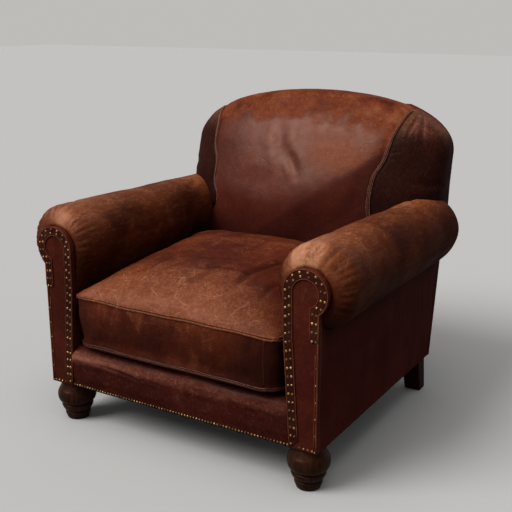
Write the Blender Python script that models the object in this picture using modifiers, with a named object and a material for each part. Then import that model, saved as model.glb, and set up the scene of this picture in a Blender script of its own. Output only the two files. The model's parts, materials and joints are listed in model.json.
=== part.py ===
"""Worn club chair: rolled arms with nailed facings, a domed back, a loose seat cushion,
turned front feet and plain rear legs, over a hardwood frame with zigzag springs.

Design axes: x across the chair (0 on its middle plane), y from the front of the arm
facings to the back, z up from the floor. Every object hangs from one empty, which moves
the middle of the chair's depth to y = 0.
"""

import math

import bmesh
import bpy
from mathutils import Matrix, Vector

# Driving dimensions, in metres
FRAME_WIDTH = 0.78          # outer edge to outer edge of the arm facings
BODY_DEPTH = 0.686          # front of the facings to the outside back, at the bottom
BODY_BOTTOM = 0.106         # underside of the body, so also the height of the feet
DECK_HEIGHT = 0.218         # top of the spring deck and of the front border
BACK_RAKE = math.radians(9.9)
JOINT_GAP = 0.0005          # between pieces that touch

# Arms
FACING_BOARD = 0.013
FACING_FOOT_WIDTH = 0.070   # across a facing at its bottom
FACING_WAIST_WIDTH = 0.088  # across a facing just below its head
HEAD_RADIUS = 0.055
HEAD_FROM_SIDE = 0.035      # head centre, in from the facing's outer edge
HEAD_HEIGHT = 0.4725
HEAD_START = 0.15           # radians past level at which the head leaves the inner edge
WAIST_DROP = 0.100          # from the head's centre down to the end of the taper
ROLL_RADIUS = 0.0985
ROLL_FROM_SIDE = 0.029      # roll centre, in from the facing's outer edge
ROLL_RISE = 0.006           # roll centre at its front, above the facing head's centre
ROLL_DROP = 0.011           # how far the roll centre falls towards the back
ROLL_TAPER = 0.007          # how much slimmer the roll's radius is at the back
ROLL_SHOULDER = 0.045       # length over which the roll swells behind its facing
ROLL_END_ROUND = 0.062
ROLL_UNDER_ANGLE = math.radians(-76)
ROLL_INNER_ANGLE = math.radians(220)
ARM_COVER = 0.010
ARM_ARC_POINTS = 15
SIDE_PANEL = 0.006
PANEL_INSET = 0.001
SIDE_PANEL_TUCK = 0.0045    # from the roll's underside down to the outside panel

# Back
BACK_PAST_SIDE = 0.0105     # the back's widest reach past the facings' outer edges
BACK_SHOULDER_HEIGHT = 0.6715
BACK_DOME = 0.153
BACK_DEPTH = 0.138          # from the back's front, behind the cushion, to the outside back
BACK_LEAN_HEIGHT = 0.520
BACK_LEAN = 0.450           # y gained for each metre of height above that
BACK_LEAN_SOFT = 0.030
BACK_CREST_OUT = 0.036      # the crest's place, past the bottom of the outside back
BACK_WIDEST_IN = 0.045      # the widest place, in from the outside back
BACK_OVERHANG = 0.008       # how far the padded form runs past the outside back before it is trimmed
OUTSIDE_BACK_DOME = math.radians(50)
OUTSIDE_BACK_INSET = 0.008
OUTSIDE_BACK_FLARE = 0.100  # height over which the outside back widens to the back's width
BACK_COVER = 0.012
BACK_PANEL = 0.007
PLAN_FRONT_POWER = 2.5
PLAN_REAR_POWER = 7.0
DOME_POWER = 2.15
FRONT_CLOSING = 0.70        # how soon the dome's front, and its rear, bend over to the crest
REAR_CLOSING = 0.40
SEAM_LOW_IN = 0.154         # seam's place, in from the facings' outer edge, at two heights
SEAM_HIGH_IN = 0.104
SEAM_LOW_HEIGHT = 0.545
SEAM_HIGH_HEIGHT = 0.765
SEAM_FLARE = 0.060          # height over which the seam turns outwards above the arm
SEAM_FLARE_WIDTH = 0.012
SEAM_ALLOWANCE = 0.0012     # between the back's panel and its side borders

# Seat
CUSHION_THICK = 0.140
CUSHION_RISE = 0.045        # how much thicker the cushion is at its rear edge
CUSHION_NARROWS = 0.014     # how much narrower each side is at the rear, under the arms' rolls
CUSHION_CROWN = 0.074
CUSHION_CLEARANCE = 0.004
CUSHION_PROUD = 0.011
CUSHION_CORNER = 0.045      # corner radius at the cushion's lower seam
CUSHION_TOP_CORNER = 0.020  # and at its upper seam
CUSHION_SEAM = 0.016        # from the cushion's underside up to its lower seam
WELT_HALF = 0.004
WELT_RISE = 0.003
WELT_PROUD = 0.001          # how far the welts stand out past the cushion's nominal size
LIP_RADIUS = 0.026
LIP_DEPTH = 0.100
BORDER_SHELL = 0.008
BORDER_SETBACK = 0.003
DECK_THICK = 0.008

# Feet
FOOT_INSET_X = 0.042
FOOT_Y = 0.042
FOOT_COLLAR = 0.037         # radius of the short step under the body
FOOT_BULB = 0.0503
FOOT_BULB_HEIGHT = 0.067
FOOT_BULB_HALF = 0.022
FOOT_BEAD = 0.041
FOOT_BEAD_HEIGHT = 0.0375
FOOT_WAIST = 0.0305
FOOT_WAIST_HEIGHT = 0.0215
FOOT_PAD = 0.0325
FOOT_PAD_HEIGHT = 0.0165
FOOT_SOLE = 0.0275
FOOT_STEP = 0.0035          # size of the small steps and roundings between those
FOOT_NECK = 0.016
FOOT_STUD_RADIUS = 0.004
FOOT_STUD_LENGTH = 0.045
STUD_BORE_SPARE = 0.004
LEG_TOP = (0.052, 0.046)
LEG_SOLE = (0.046, 0.038)
LEG_RAKE = 0.028
LEG_SETBACK = 0.004         # behind the outside back's panel

# Frame
RAIL_THICK = 0.026
RAIL_SHARE = 0.70           # side rail's thickness as a share of the posts' width
BACK_FRAME_DEPTH = 0.024    # from the outside back's face to the frame
POST_WIDTH = 0.040
POST_DEPTH = 0.045
POST_INSET = 0.015          # from the facing's outer edge to the post
POST_SETBACK = 0.004        # behind the facing
POST_RISE = 0.015           # back posts, above the back's shoulder
TOP_RAIL_OVERLAP = 0.045    # top rail's lower edge, below the back's shoulder
TOP_RAIL_MARGIN = 0.030     # between the top rail and the back's outline
DUST_COVER = 0.0017
DUST_COVER_CORNER = 0.105   # cut away at each corner, round the blocks
DUST_COVER_SHARE = 0.30     # reach past the posts' middle, as a share of their width
ARM_RAIL_THICK = 0.024
PADDING_GAP = 0.0025
BLOCK_LEG = 0.070
BLOCK_THICK = 0.050
WEB_WIDTH = 0.050
WEB_THICK = 0.002
WEB_COUNT = 3
WEB_ABOVE_DECK = 0.220      # the lowest web's middle
WEB_BELOW_SHOULDER = 0.0635  # the highest web's middle
WEB_SHARE = 0.40
LOWER_RAIL_HEIGHT = 0.300
LOWER_RAIL_TALL = 0.040
BACK_PAD_PAST_WEBS = 0.040
BACK_PAD_SIDE_GAP = 0.040
BACK_PAD_FRONT_GAP = 0.045
WIRE_RADIUS = 0.0019
SPRING_COUNT = 4
SPRING_HALF_WAVE = 0.028
SPRING_SWING = 0.022
SPRING_SIDE_GAP = 0.020

# Nails
NAIL_PITCH = 0.0125         # along the bottom edges
BAND_PITCH = 0.0195         # along each row on a facing's band
SIDE_NAIL_PITCH = 0.040
NAIL_RADIUS = 0.0040
NAIL_RISE = 0.0026
NAIL_SUNK = 0.0006
NAIL_MARGIN = 0.0075        # from a bottom or outer edge to the nails' centres
BAND_THICK = 0.0016
BAND_EDGE = 0.0012
BAND_ROWS = (0.0062, 0.0168)
BAND_WIDTH = 0.0218
BAND_TAIL = 0.370           # height at which the band ends on a facing's outer edge

# Worked out from the above
SIDE_X = FRAME_WIDTH / 2
ROLL_HEIGHT = HEAD_HEIGHT + ROLL_RISE
BACK_HALF_WIDTH = SIDE_X + BACK_PAST_SIDE
BACK_FRONT_Y = BODY_DEPTH - BACK_DEPTH
BACK_TOP_Y = BODY_DEPTH + BACK_CREST_OUT
BACK_TOP = BACK_SHOULDER_HEIGHT + BACK_DOME
POST_X = SIDE_X - POST_INSET - POST_WIDTH / 2
POST_IN = POST_X - POST_WIDTH / 2
FRAME_BOTTOM = BODY_BOTTOM + DUST_COVER + 2 * JOINT_GAP
RAKE = math.tan(BACK_RAKE)
SEAM_LOW = SIDE_X - SEAM_LOW_IN
SEAM_SLOPE = (SEAM_LOW_IN - SEAM_HIGH_IN) / (SEAM_HIGH_HEIGHT - SEAM_LOW_HEIGHT)
SPRING_Z = DECK_HEIGHT - DECK_THICK - JOINT_GAP - WIRE_RADIUS
RAIL_TOP = SPRING_Z - WIRE_RADIUS - JOINT_GAP
RAIL_TALL = RAIL_TOP - FRAME_BOTTOM
POST_FRONT_Y = FACING_BOARD + JOINT_GAP + POST_SETBACK
ARM_RAIL_Z = HEAD_HEIGHT - HEAD_RADIUS - ARM_RAIL_THICK
FRONT_POST_TOP = ARM_RAIL_Z - ARM_RAIL_THICK / 2 - JOINT_GAP
WAIST_HEIGHT = HEAD_HEIGHT - WAIST_DROP
WEB_LOW = DECK_HEIGHT + WEB_ABOVE_DECK
WEB_HIGH = BACK_SHOULDER_HEIGHT - WEB_BELOW_SHOULDER
WEB_PITCH = (WEB_HIGH - WEB_LOW) / (WEB_COUNT - 1)


def rear_y(z, depth_in=0.0):
    """The outside back's plane at a height, or the plane that far inside it."""
    return BODY_DEPTH - depth_in + (z - BODY_BOTTOM) * RAKE


OUTSIDE_BACK_TOP = BACK_SHOULDER_HEIGHT + BACK_DOME * math.sin(OUTSIDE_BACK_DOME)
CENTRE_Y = (rear_y(OUTSIDE_BACK_TOP) - CUSHION_PROUD - WELT_PROUD) / 2

for old in list(bpy.data.objects):
    bpy.data.objects.remove(old, do_unlink=True)
chair = bpy.data.collections.new("worn_club_chair")
cutters = bpy.data.collections.new("cutters")
bpy.context.scene.collection.children.link(chair)
bpy.context.scene.collection.children.link(cutters)
cutters.hide_render = True
root = bpy.data.objects.new("chair_centre", None)
root.location = (0, -CENTRE_Y, 0)
chair.objects.link(root)


def finish(name, colour, roughness, metallic=0.0):
    material = bpy.data.materials.new(name)
    material.use_nodes = True
    shader = material.node_tree.nodes["Principled BSDF"]
    shader.inputs["Base Color"].default_value = (*colour, 1)
    shader.inputs["Roughness"].default_value = roughness
    shader.inputs["Metallic"].default_value = metallic
    return material


LEATHER = finish("worn_leather", (0.16, 0.045, 0.025), 0.45)
DARK_LEATHER = finish("dark_leather", (0.07, 0.020, 0.015), 0.45)
BAND_LEATHER = finish("band_leather", (0.020, 0.012, 0.010), 0.5)
TURNED_WOOD = finish("turned_wood", (0.09, 0.025, 0.015), 0.3)
BLACK_WOOD = finish("black_wood", (0.025, 0.014, 0.010), 0.4)
FRAME_WOOD = finish("frame_wood", (0.50, 0.34, 0.20), 0.7)
SPRING_STEEL = finish("spring_steel", (0.45, 0.45, 0.45), 0.35, 1.0)
FOAM = finish("padding_foam", (0.75, 0.66, 0.45), 0.95)
WEBBING = finish("webbing", (0.35, 0.28, 0.19), 0.9)
BLACK_CLOTH = finish("black_cloth", (0.02, 0.02, 0.02), 0.9)


def place(name, mesh, material, collection=chair):
    thing = bpy.data.objects.new(name, mesh)
    collection.objects.link(thing)
    thing.parent = root
    if material:
        mesh.materials.append(material)
    if collection is cutters:
        thing.hide_render = True
        thing.display_type = "WIRE"
    return thing


def mesh_of(build):
    """A mesh from a bmesh that the given function fills."""
    mesh = bpy.data.meshes.new("shape")
    work = bmesh.new()
    build(work)
    bmesh.ops.recalc_face_normals(work, faces=work.faces)
    work.to_mesh(mesh)
    work.free()
    mesh.shade_smooth()
    mesh.set_sharp_from_angle(angle=math.radians(35))
    return mesh


def loft(name, rows, material, closed=False, ends=False, collection=chair):
    """A surface through rows of points that all have the same number of points."""

    def build(work):
        grid = [[work.verts.new(p) for p in row] for row in rows]
        count = len(rows[0])
        for low, high in zip(grid, grid[1:]):
            for i in range(count if closed else count - 1):
                j = (i + 1) % count
                work.faces.new((low[i], low[j], high[j], high[i]))
        if ends:
            work.faces.new(grid[0])
            work.faces.new(grid[-1])

    return place(name, mesh_of(build), material, collection)


def box(name, size, centre, material, bevel=0.002, collection=chair):
    def build(work):
        bmesh.ops.create_cube(work, size=1, matrix=Matrix.Diagonal((*size, 1)))

    thing = place(name, mesh_of(build), material, collection)
    thing.location = centre
    if bevel:
        edge = thing.modifiers.new("edges", "BEVEL")
        edge.width = bevel
        edge.segments = 1
    return thing


def prism(name, outline, low, high, material, axis="y", collection=chair):
    """A flat outline given thickness along x, y or z."""

    def point(a, b, c):
        return {"x": (c, a, b), "y": (a, c, b), "z": (a, b, c)}[axis]

    rows = [[point(a, b, c) for a, b in outline] for c in (low, high)]
    return loft(name, rows, material, closed=True, ends=True, collection=collection)


def shell(thing, thickness, offset=-1.0):
    skin = thing.modifiers.new("shell", "SOLIDIFY")
    skin.thickness = thickness
    skin.offset = offset
    return skin


def boolean(thing, other, operation):
    cut = thing.modifiers.new(operation.lower(), "BOOLEAN")
    cut.operation = operation
    cut.object = other
    return cut


def mirrored(points, side):
    return [(side * p[0], *p[1:]) for p in points]


def facing_inner_x(z):
    """Inner edge of the right facing, and the arm's inside face behind it."""
    low = SIDE_X - FACING_FOOT_WIDTH
    high = SIDE_X - FACING_WAIST_WIDTH
    share = (z - BODY_BOTTOM) / (WAIST_HEIGHT - BODY_BOTTOM)
    return low + (high - low) * min(share, 1.0)


def arc(centre, radius, start, end, count):
    turn = [start + (end - start) * i / (count - 1) for i in range(count)]
    return [(centre[0] + radius * math.cos(a), centre[1] + radius * math.sin(a)) for a in turn]


def facing_outline():
    """The right facing from the front, from its inner foot up round the head to its outer foot."""
    centre = (SIDE_X - HEAD_FROM_SIDE, HEAD_HEIGHT)
    neck = math.acos(HEAD_FROM_SIDE / HEAD_RADIUS)
    inner = [(facing_inner_x(z), z) for z in (BODY_BOTTOM, (BODY_BOTTOM + WAIST_HEIGHT) / 2, WAIST_HEIGHT)]
    head = arc(centre, HEAD_RADIUS, math.pi + HEAD_START, -neck, 17)
    return inner + head + [(SIDE_X, BODY_BOTTOM)]


def roll_at(y):
    """Centre x, centre z, radius and inner join angle of the arm's roll at a depth."""
    grown = min(max((y - FACING_BOARD) / ROLL_SHOULDER, 0.0), 1.0)
    swell = math.sqrt(1 - (1 - grown) ** 2)
    along = y / BODY_DEPTH
    x = SIDE_X - HEAD_FROM_SIDE + (HEAD_FROM_SIDE - ROLL_FROM_SIDE) * swell
    z = HEAD_HEIGHT + (ROLL_HEIGHT - HEAD_HEIGHT) * swell - ROLL_DROP * along
    radius = HEAD_RADIUS - PANEL_INSET + (ROLL_RADIUS - HEAD_RADIUS) * swell - ROLL_TAPER * along
    join = math.pi + HEAD_START
    return x, z, radius, join + (ROLL_INNER_ANGLE - join) * swell


def arm_section(y, grow=0.0, shrink=1.0):
    """The arm's outer skin at a depth, from inside bottom up and over to under the roll."""
    x, z, radius, join = roll_at(y)
    bottom = RAIL_TOP + JOINT_GAP
    top = WAIST_HEIGHT - JOINT_GAP
    inner = [
        (facing_inner_x(h) - grow, h)
        for h in (bottom, (bottom + top) / 2, top)
    ]
    return inner + arc((x, z), radius * shrink + grow, join, ROLL_UNDER_ANGLE, ARM_ARC_POINTS)


def arm_places():
    """Depths along an arm, each with how much its roll has shrunk in the rounding of its rear end."""
    first = FACING_BOARD + JOINT_GAP
    full = first + ROLL_SHOULDER
    rear = rear_y(ROLL_HEIGHT - ROLL_DROP, BACK_PANEL + 2 * JOINT_GAP)
    straight = rear - ROLL_END_ROUND
    places = [(first + ROLL_SHOULDER * (1 - math.cos(math.pi / 2 * i / 5)), 1.0) for i in range(6)]
    places += [(full + (straight - full) * i / 4, 1.0) for i in range(1, 5)]
    for degrees in (20, 38, 54, 68, 80, 88):
        turn = math.radians(degrees)
        shrink = 1 - ROLL_END_ROUND / roll_at(rear)[2] * (1 - math.cos(turn))
        places.append((straight + ROLL_END_ROUND * math.sin(turn), shrink))
    return places, rear


def arm_lean(y, rear):
    """How much an arm's section leans back with the outside back, from none at half depth."""
    return RAKE * max(y - BODY_DEPTH / 2, 0.0) / (rear - BODY_DEPTH / 2)


def arm_row(y, rear, side, grow=0.0, shrink=1.0):
    lean = arm_lean(y, rear)
    middle = roll_at(y)[1]
    return [(side * x, y + (z - middle) * lean, z) for x, z in arm_section(y, grow, shrink)]


def add_arm(side, word):
    """The cover of one arm; towards its back end it leans with the outside back."""
    places, rear = arm_places()
    places += [(rear, 0.20), (rear, 0.06)]
    rows = [arm_row(y, rear, side, shrink=shrink) for y, shrink in places]
    arm = loft(f"{word}_arm", rows, LEATHER)
    shell(arm, ARM_COVER, -1.0)
    boolean(arm, arm_relief, "DIFFERENCE")
    return arm


def add_outside_arm(side, word):
    """The side panel; its top edge follows the underside of the roll and its rounded end."""
    first = FACING_BOARD + JOINT_GAP
    places, rear = arm_places()
    rows = []
    for y, shrink in places:
        x, middle, radius, _ = roll_at(y)
        reach = SIDE_X - PANEL_INSET - SIDE_PANEL - x
        under = math.sqrt(max((radius * shrink) ** 2 - reach ** 2, 0.0))
        top = middle - under - SIDE_PANEL_TUCK
        deepest = rear_y(top, BACK_PANEL + JOINT_GAP)
        top_y = min(y + (top - middle) * arm_lean(y, rear), deepest)
        share = max((top_y - first) / (deepest - first), 0.0)
        column = []
        for k in range(5):
            z = BODY_BOTTOM + (top - BODY_BOTTOM) * k / 4
            y = first + (rear_y(z, BACK_PANEL + JOINT_GAP) - first) * share
            column.append((side * (SIDE_X - PANEL_INSET), y, z))
        rows.append(column)
    panel = loft(f"{word}_outside_arm", rows, DARK_LEATHER)
    shell(panel, SIDE_PANEL, -1.0)


def offset_path(points, distance):
    """A path moved to its right hand side by a distance."""
    moved = []
    for i, point in enumerate(points):
        before = Vector(points[max(i - 1, 0)])
        after = Vector(points[min(i + 1, len(points) - 1)])
        along = (after - before).normalized()
        moved.append((point[0] + along.y * distance, point[1] - along.x * distance))
    return moved


def spaced(points, pitch, margin=0.0, shift=0.0):
    """Points one pitch apart along a path, evened out; a shift of half moves them between those places."""
    steps = [(Vector(b) - Vector(a)).length for a, b in zip(points, points[1:])]
    length = sum(steps) - 2 * margin
    count = max(round(length / pitch), 1)
    found = []
    for i in range(count + (0 if shift else 1)):
        along = margin + length * (i + shift) / count
        k = 0
        while k < len(steps) - 1 and along > steps[k]:
            along -= steps[k]
            k += 1
        found.append(Vector(points[k]).lerp(Vector(points[k + 1]), along / steps[k]))
    return found


def nail_heads(name, points, face_y):
    """Low domed heads, facing the front, one at each (x, z) point, as one cutter mesh."""

    def build(work):
        for x, z in points:
            turn = Matrix.Rotation(math.radians(90), 4, "X")
            spot = Matrix.Translation((x, face_y - (NAIL_RISE - NAIL_SUNK) / 2, z))
            bmesh.ops.create_cone(
                work, cap_ends=True, segments=5, radius1=NAIL_RADIUS, radius2=NAIL_RADIUS * 0.35,
                depth=NAIL_RISE + NAIL_SUNK, matrix=spot @ turn,
            )

    return place(name, mesh_of(build), None, cutters)


def add_facing(side, word):
    outline = facing_outline()
    facing = prism(f"{word}_arm_facing", mirrored(outline, side), 0.0, FACING_BOARD, DARK_LEATHER)
    band_path = outline[:-1] + [(SIDE_X, (outline[-2][1] + BAND_TAIL) / 2), (SIDE_X, BAND_TAIL)]
    edge = offset_path(band_path, BAND_EDGE)
    inner = offset_path(band_path, BAND_EDGE + BAND_WIDTH)
    front = -JOINT_GAP
    band = prism(
        f"{word}_nail_band", mirrored(edge + inner[::-1], side), front - BAND_THICK, front, BAND_LEATHER,
    )
    nails = []
    for row, shift in zip(BAND_ROWS, (0.0, 0.5)):
        nails += spaced(offset_path(band_path, BAND_EDGE + row), BAND_PITCH, NAIL_RADIUS + BAND_EDGE, shift)
    heads = nail_heads(f"{word}_band_nails", mirrored(nails, side), front - BAND_THICK)
    boolean(band, heads, "UNION")
    low = BODY_BOTTOM + NAIL_MARGIN
    outer = [(SIDE_X - NAIL_MARGIN, low), (SIDE_X - NAIL_MARGIN, BAND_TAIL - 2 * NAIL_MARGIN)]
    foot_row = [(facing_inner_x(BODY_BOTTOM) + BAND_WIDTH + NAIL_MARGIN, low), outer[0]]
    few = spaced(foot_row, NAIL_PITCH)[:-1] + spaced(outer, SIDE_NAIL_PITCH)
    boolean(facing, nail_heads(f"{word}_facing_nails", mirrored(few, side), 0.0), "UNION")


def add_front_border():
    lip_z = DECK_HEIGHT - LIP_RADIUS
    front = BORDER_SETBACK
    foot = BODY_BOTTOM + JOINT_GAP
    profile = [(front, foot), (front, foot + (lip_z - foot) / 3), (front, foot + (lip_z - foot) * 2 / 3)]
    profile += arc((front + LIP_RADIUS, lip_z), LIP_RADIUS, math.pi, math.pi / 2, 6)
    profile += [(front + LIP_DEPTH, DECK_HEIGHT)]
    rows = []
    for y, z in profile:
        half = facing_inner_x(z) - JOINT_GAP
        rows.append([(half * k / 4, y, z) for k in range(-4, 5)])
    border = loft("front_border", rows, LEATHER)
    shell(border, BORDER_SHELL)
    half = facing_inner_x(BODY_BOTTOM) - NAIL_MARGIN
    height = BODY_BOTTOM + NAIL_MARGIN
    row = spaced([(-half, height), (half, height)], NAIL_PITCH)
    boolean(border, nail_heads("border_nails", row, front), "UNION")


def dome_turn(z):
    """Where a height lies on the back's dome, as an angle from its spring line to its top."""
    share = min(max((z - BACK_SHOULDER_HEIGHT) / BACK_DOME, 0.0), 1.0)
    return math.asin(share)


def back_half_width(z):
    return BACK_HALF_WIDTH * math.cos(dome_turn(z)) ** (2 / DOME_POWER)


def back_front_y(z):
    """Front of the back on the middle plane: upright behind the cushion, then leaning."""
    above = (z - BACK_LEAN_HEIGHT) / BACK_LEAN_SOFT
    lean = BACK_LEAN * BACK_LEAN_SOFT * math.log(1 + math.exp(above))
    closing = 1 - math.cos(dome_turn(z)) ** FRONT_CLOSING
    y = BACK_FRONT_Y + lean
    return y + (BACK_TOP_Y - y) * closing


def back_rear_y(z):
    y = rear_y(z, -BACK_OVERHANG)
    closing = 1 - math.cos(dome_turn(z)) ** REAR_CLOSING
    return y + (BACK_TOP_Y - y) * closing


def back_outline(z, count=44):
    """The back in plan at a height, as two rounded halves that meet at its sides."""
    widest = rear_y(z, BACK_WIDEST_IN)
    middle = widest + (BACK_TOP_Y - widest) * (1 - math.cos(dome_turn(z)))
    points = []
    for i in range(count):
        turn = 2 * math.pi * (i + 0.5) / count
        c, s = math.cos(turn), math.sin(turn)
        front = s < 0
        power = PLAN_FRONT_POWER if front else PLAN_REAR_POWER
        depth = middle - back_front_y(z) if front else back_rear_y(z) - middle
        x = back_half_width(z) * math.copysign(abs(c) ** (2 / power), c)
        y = middle + depth * math.copysign(abs(s) ** (2 / power), s)
        points.append((x, y))
    return points


def back_form(name, material):
    """The whole padded back as one skin, from the deck up over the dome."""
    bottom = DECK_HEIGHT + 2 * JOINT_GAP
    upright = [bottom + (BACK_SHOULDER_HEIGHT - bottom) * i / 8 for i in range(8)]
    dome = [BACK_SHOULDER_HEIGHT + BACK_DOME * math.sin(math.radians(a)) for a in (0, 17, 33, 48, 61, 72, 81)]
    rows = [[(x, y, z) for x, y in back_outline(z)] for z in upright + dome]

    def build(work):
        grid = [[work.verts.new(p) for p in row] for row in rows]
        count = len(rows[0])
        for low, high in zip(grid, grid[1:]):
            for i in range(count):
                j = (i + 1) % count
                work.faces.new((low[i], low[j], high[j], high[i]))
        top = work.verts.new((0, BACK_TOP_Y, BACK_TOP))
        for i in range(count):
            work.faces.new((grid[-1][i], grid[-1][(i + 1) % count], top))

    form = place(name, mesh_of(build), material)
    shell(form, BACK_COVER, -1.0)
    return form


def seam_zone(name, shift, side=0):
    """A cutter over the front panel between the seams, or over one side border outside them."""
    clear = BACK_DEPTH
    top_z = BACK_TOP + clear
    top_x = SEAM_LOW + (top_z - SEAM_LOW_HEIGHT) * SEAM_SLOPE
    flare_z = SEAM_LOW_HEIGHT - SEAM_FLARE
    edge = [(SIDE_X + clear, BODY_BOTTOM), (SIDE_X + clear, flare_z - SEAM_FLARE)]
    edge += [(SEAM_LOW + SEAM_FLARE_WIDTH, flare_z), (SEAM_LOW, SEAM_LOW_HEIGHT), (top_x, top_z)]
    edge = [(x + shift, z) for x, z in edge]
    if side:
        outline = mirrored(edge[1:] + [(SIDE_X + clear, top_z)], side)
    else:
        outline = edge + mirrored(edge, -1)[::-1]
    rows = [
        [(x, y + (z - BODY_BOTTOM) * RAKE, z) for x, z in outline]
        for y in (BACK_FRONT_Y - clear, BODY_DEPTH - BACK_PANEL - JOINT_GAP)
    ]
    return loft(name, rows, None, closed=True, ends=True, collection=cutters)


def add_back():
    centre_zone = seam_zone("seam_zone_centre", 0.0)
    inside = back_form("inside_back", LEATHER)
    boolean(inside, centre_zone, "INTERSECT")
    for envelope in arm_envelopes:
        boolean(inside, envelope, "DIFFERENCE")
    for side, word, envelope in ((-1, "left", arm_envelopes[0]), (1, "right", arm_envelopes[1])):
        border = back_form(f"{word}_back_border", DARK_LEATHER)
        boolean(border, seam_zone(f"seam_zone_{word}", SEAM_ALLOWANCE, side), "INTERSECT")
        boolean(border, envelope, "DIFFERENCE")
    turns = [OUTSIDE_BACK_DOME * share for share in (0, 0.24, 0.47, 0.68, 0.86, 1)]
    heights = [BACK_SHOULDER_HEIGHT + BACK_DOME * math.sin(turn) for turn in turns]
    flare_top = BACK_SHOULDER_HEIGHT - OUTSIDE_BACK_FLARE
    edge = [(SIDE_X - PANEL_INSET, BODY_BOTTOM), (SIDE_X - PANEL_INSET, flare_top - OUTSIDE_BACK_FLARE)]
    edge += [(BACK_HALF_WIDTH - OUTSIDE_BACK_INSET, flare_top)]
    edge += [(back_half_width(z) - OUTSIDE_BACK_INSET, z) for z in heights]
    outline = edge + mirrored(edge, -1)[::-1]
    rows = [[(x, rear_y(z, depth), z) for x, z in outline] for depth in (0.0, BACK_PANEL)]
    loft("outside_back", rows, DARK_LEATHER, closed=True, ends=True)


def add_cushion():
    """The loose cushion as rings of points, from its underside up to its crowned top."""
    half_x = facing_inner_x(DECK_HEIGHT + CUSHION_THICK) - CUSHION_CLEARANCE
    front, rear = -CUSHION_PROUD, BACK_FRONT_Y - CUSHION_CLEARANCE
    centre_y, half_y = (front + rear) / 2, (rear - front) / 2
    low = DECK_HEIGHT + JOINT_GAP
    top = low + CUSHION_THICK
    corner_points, side_points = 5, 5

    def ring(inset, height, corner, crowned=False):
        """One level: a rounded rectangle that climbs towards the rear in proportion to its height."""
        a, b = half_x - inset, half_y - inset
        radius = corner + 0.4 * max(inset, 0.0)
        points = []
        for quarter in range(4):
            cx = (a - radius) * (1 if quarter in (0, 3) else -1)
            cy = (b - radius) * (1 if quarter in (0, 1) else -1)
            points += arc((cx, cy), radius, math.pi / 2 * quarter, math.pi / 2 * (quarter + 1), corner_points)
        outline = []
        for quarter in range(4):
            outline += points[quarter * corner_points:(quarter + 1) * corner_points]
            last = Vector(outline[-1])
            following = Vector(points[(quarter + 1) * corner_points % len(points)])
            outline += [tuple(last.lerp(following, k / side_points)) for k in range(1, side_points)]
        lifted = []
        for x, y in outline:
            across = max(1 - (x / half_x) ** 2, 0.0)
            along = max(1 - (y / half_y) ** 2, 0.0)
            share = (height - low) / CUSHION_THICK
            back = ((y + half_y) / (2 * half_y)) ** 2
            x *= 1 - CUSHION_NARROWS / half_x * back
            z = height + share * CUSHION_RISE * back + crowned * CUSHION_CROWN * (across * along) ** 0.6
            lifted.append((x, centre_y + y, z))
        return lifted

    flat = WELT_RISE - WELT_PROUD
    middle = (low + CUSHION_SEAM + top) / 2
    rings = [ring(inset, low, CUSHION_CORNER) for inset in (0.16, 0.03)]
    rings += [ring(0.010, low + WELT_HALF, CUSHION_CORNER)]
    for z, corner in ((low + CUSHION_SEAM, CUSHION_CORNER), (top, CUSHION_TOP_CORNER)):
        rings += [ring(flat, z - WELT_HALF, corner), ring(-WELT_PROUD, z, corner)]
        rings += [ring(flat, z + WELT_HALF, corner)]
        if z < top:
            rings += [ring(-WELT_PROUD, middle, (CUSHION_CORNER + CUSHION_TOP_CORNER) / 2)]
    for inset in (0.010, 0.025, 0.05, 0.085, 0.13, 0.18):
        rings += [ring(inset, top + WELT_HALF, CUSHION_TOP_CORNER, crowned=True)]
    loft("seat_cushion", rings, LEATHER, closed=True, ends=True)


def add_foot(side, word):
    """A turned bun foot with a steel stud in its top, as one turned profile."""
    neck = FRAME_BOTTOM - JOINT_GAP
    high = BODY_BOTTOM - JOINT_GAP
    stud_top = neck + FOOT_STUD_LENGTH
    core = FOOT_COLLAR - FOOT_STEP / 4
    profile = [(0.0, stud_top), (FOOT_STUD_RADIUS, stud_top), (FOOT_STUD_RADIUS, neck), (FOOT_NECK, neck)]
    profile += [(FOOT_NECK, high), (FOOT_COLLAR - FOOT_STEP, high), (FOOT_COLLAR, high - FOOT_STEP)]
    for degrees in (50, 25, 0, -25, -50):
        turn = math.radians(degrees)
        radius = core + (FOOT_BULB - core) * math.cos(turn)
        profile.append((radius, FOOT_BULB_HEIGHT + FOOT_BULB_HALF * math.sin(turn)))
    profile += [(FOOT_BEAD - FOOT_STEP, FOOT_BEAD_HEIGHT + 2 * FOOT_STEP)]
    profile += [(FOOT_BEAD, FOOT_BEAD_HEIGHT + FOOT_STEP), (FOOT_BEAD, FOOT_BEAD_HEIGHT - FOOT_STEP)]
    profile += [(FOOT_WAIST + FOOT_STEP, FOOT_WAIST_HEIGHT + FOOT_STEP / 2), (FOOT_WAIST, FOOT_WAIST_HEIGHT)]
    profile += [(FOOT_PAD, FOOT_PAD_HEIGHT + FOOT_STEP / 2), (FOOT_PAD, FOOT_PAD_HEIGHT - FOOT_STEP / 2)]
    profile += [(FOOT_SOLE, 0.0), (0.0, 0.0)]
    mesh = bpy.data.meshes.new("shape")
    edges = [(i, i + 1) for i in range(len(profile) - 1)]
    mesh.from_pydata([(r, 0, z) for r, z in profile], edges, [])
    foot = place(f"{word}_front_foot", mesh, TURNED_WOOD)
    foot.location = (side * (SIDE_X - FOOT_INSET_X), FOOT_Y, 0)
    turned = foot.modifiers.new("turned", "SCREW")
    turned.steps = turned.render_steps = 20
    turned.use_merge_vertices = True
    turned.merge_threshold = 0.0001
    turned.use_smooth_shade = True


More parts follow.
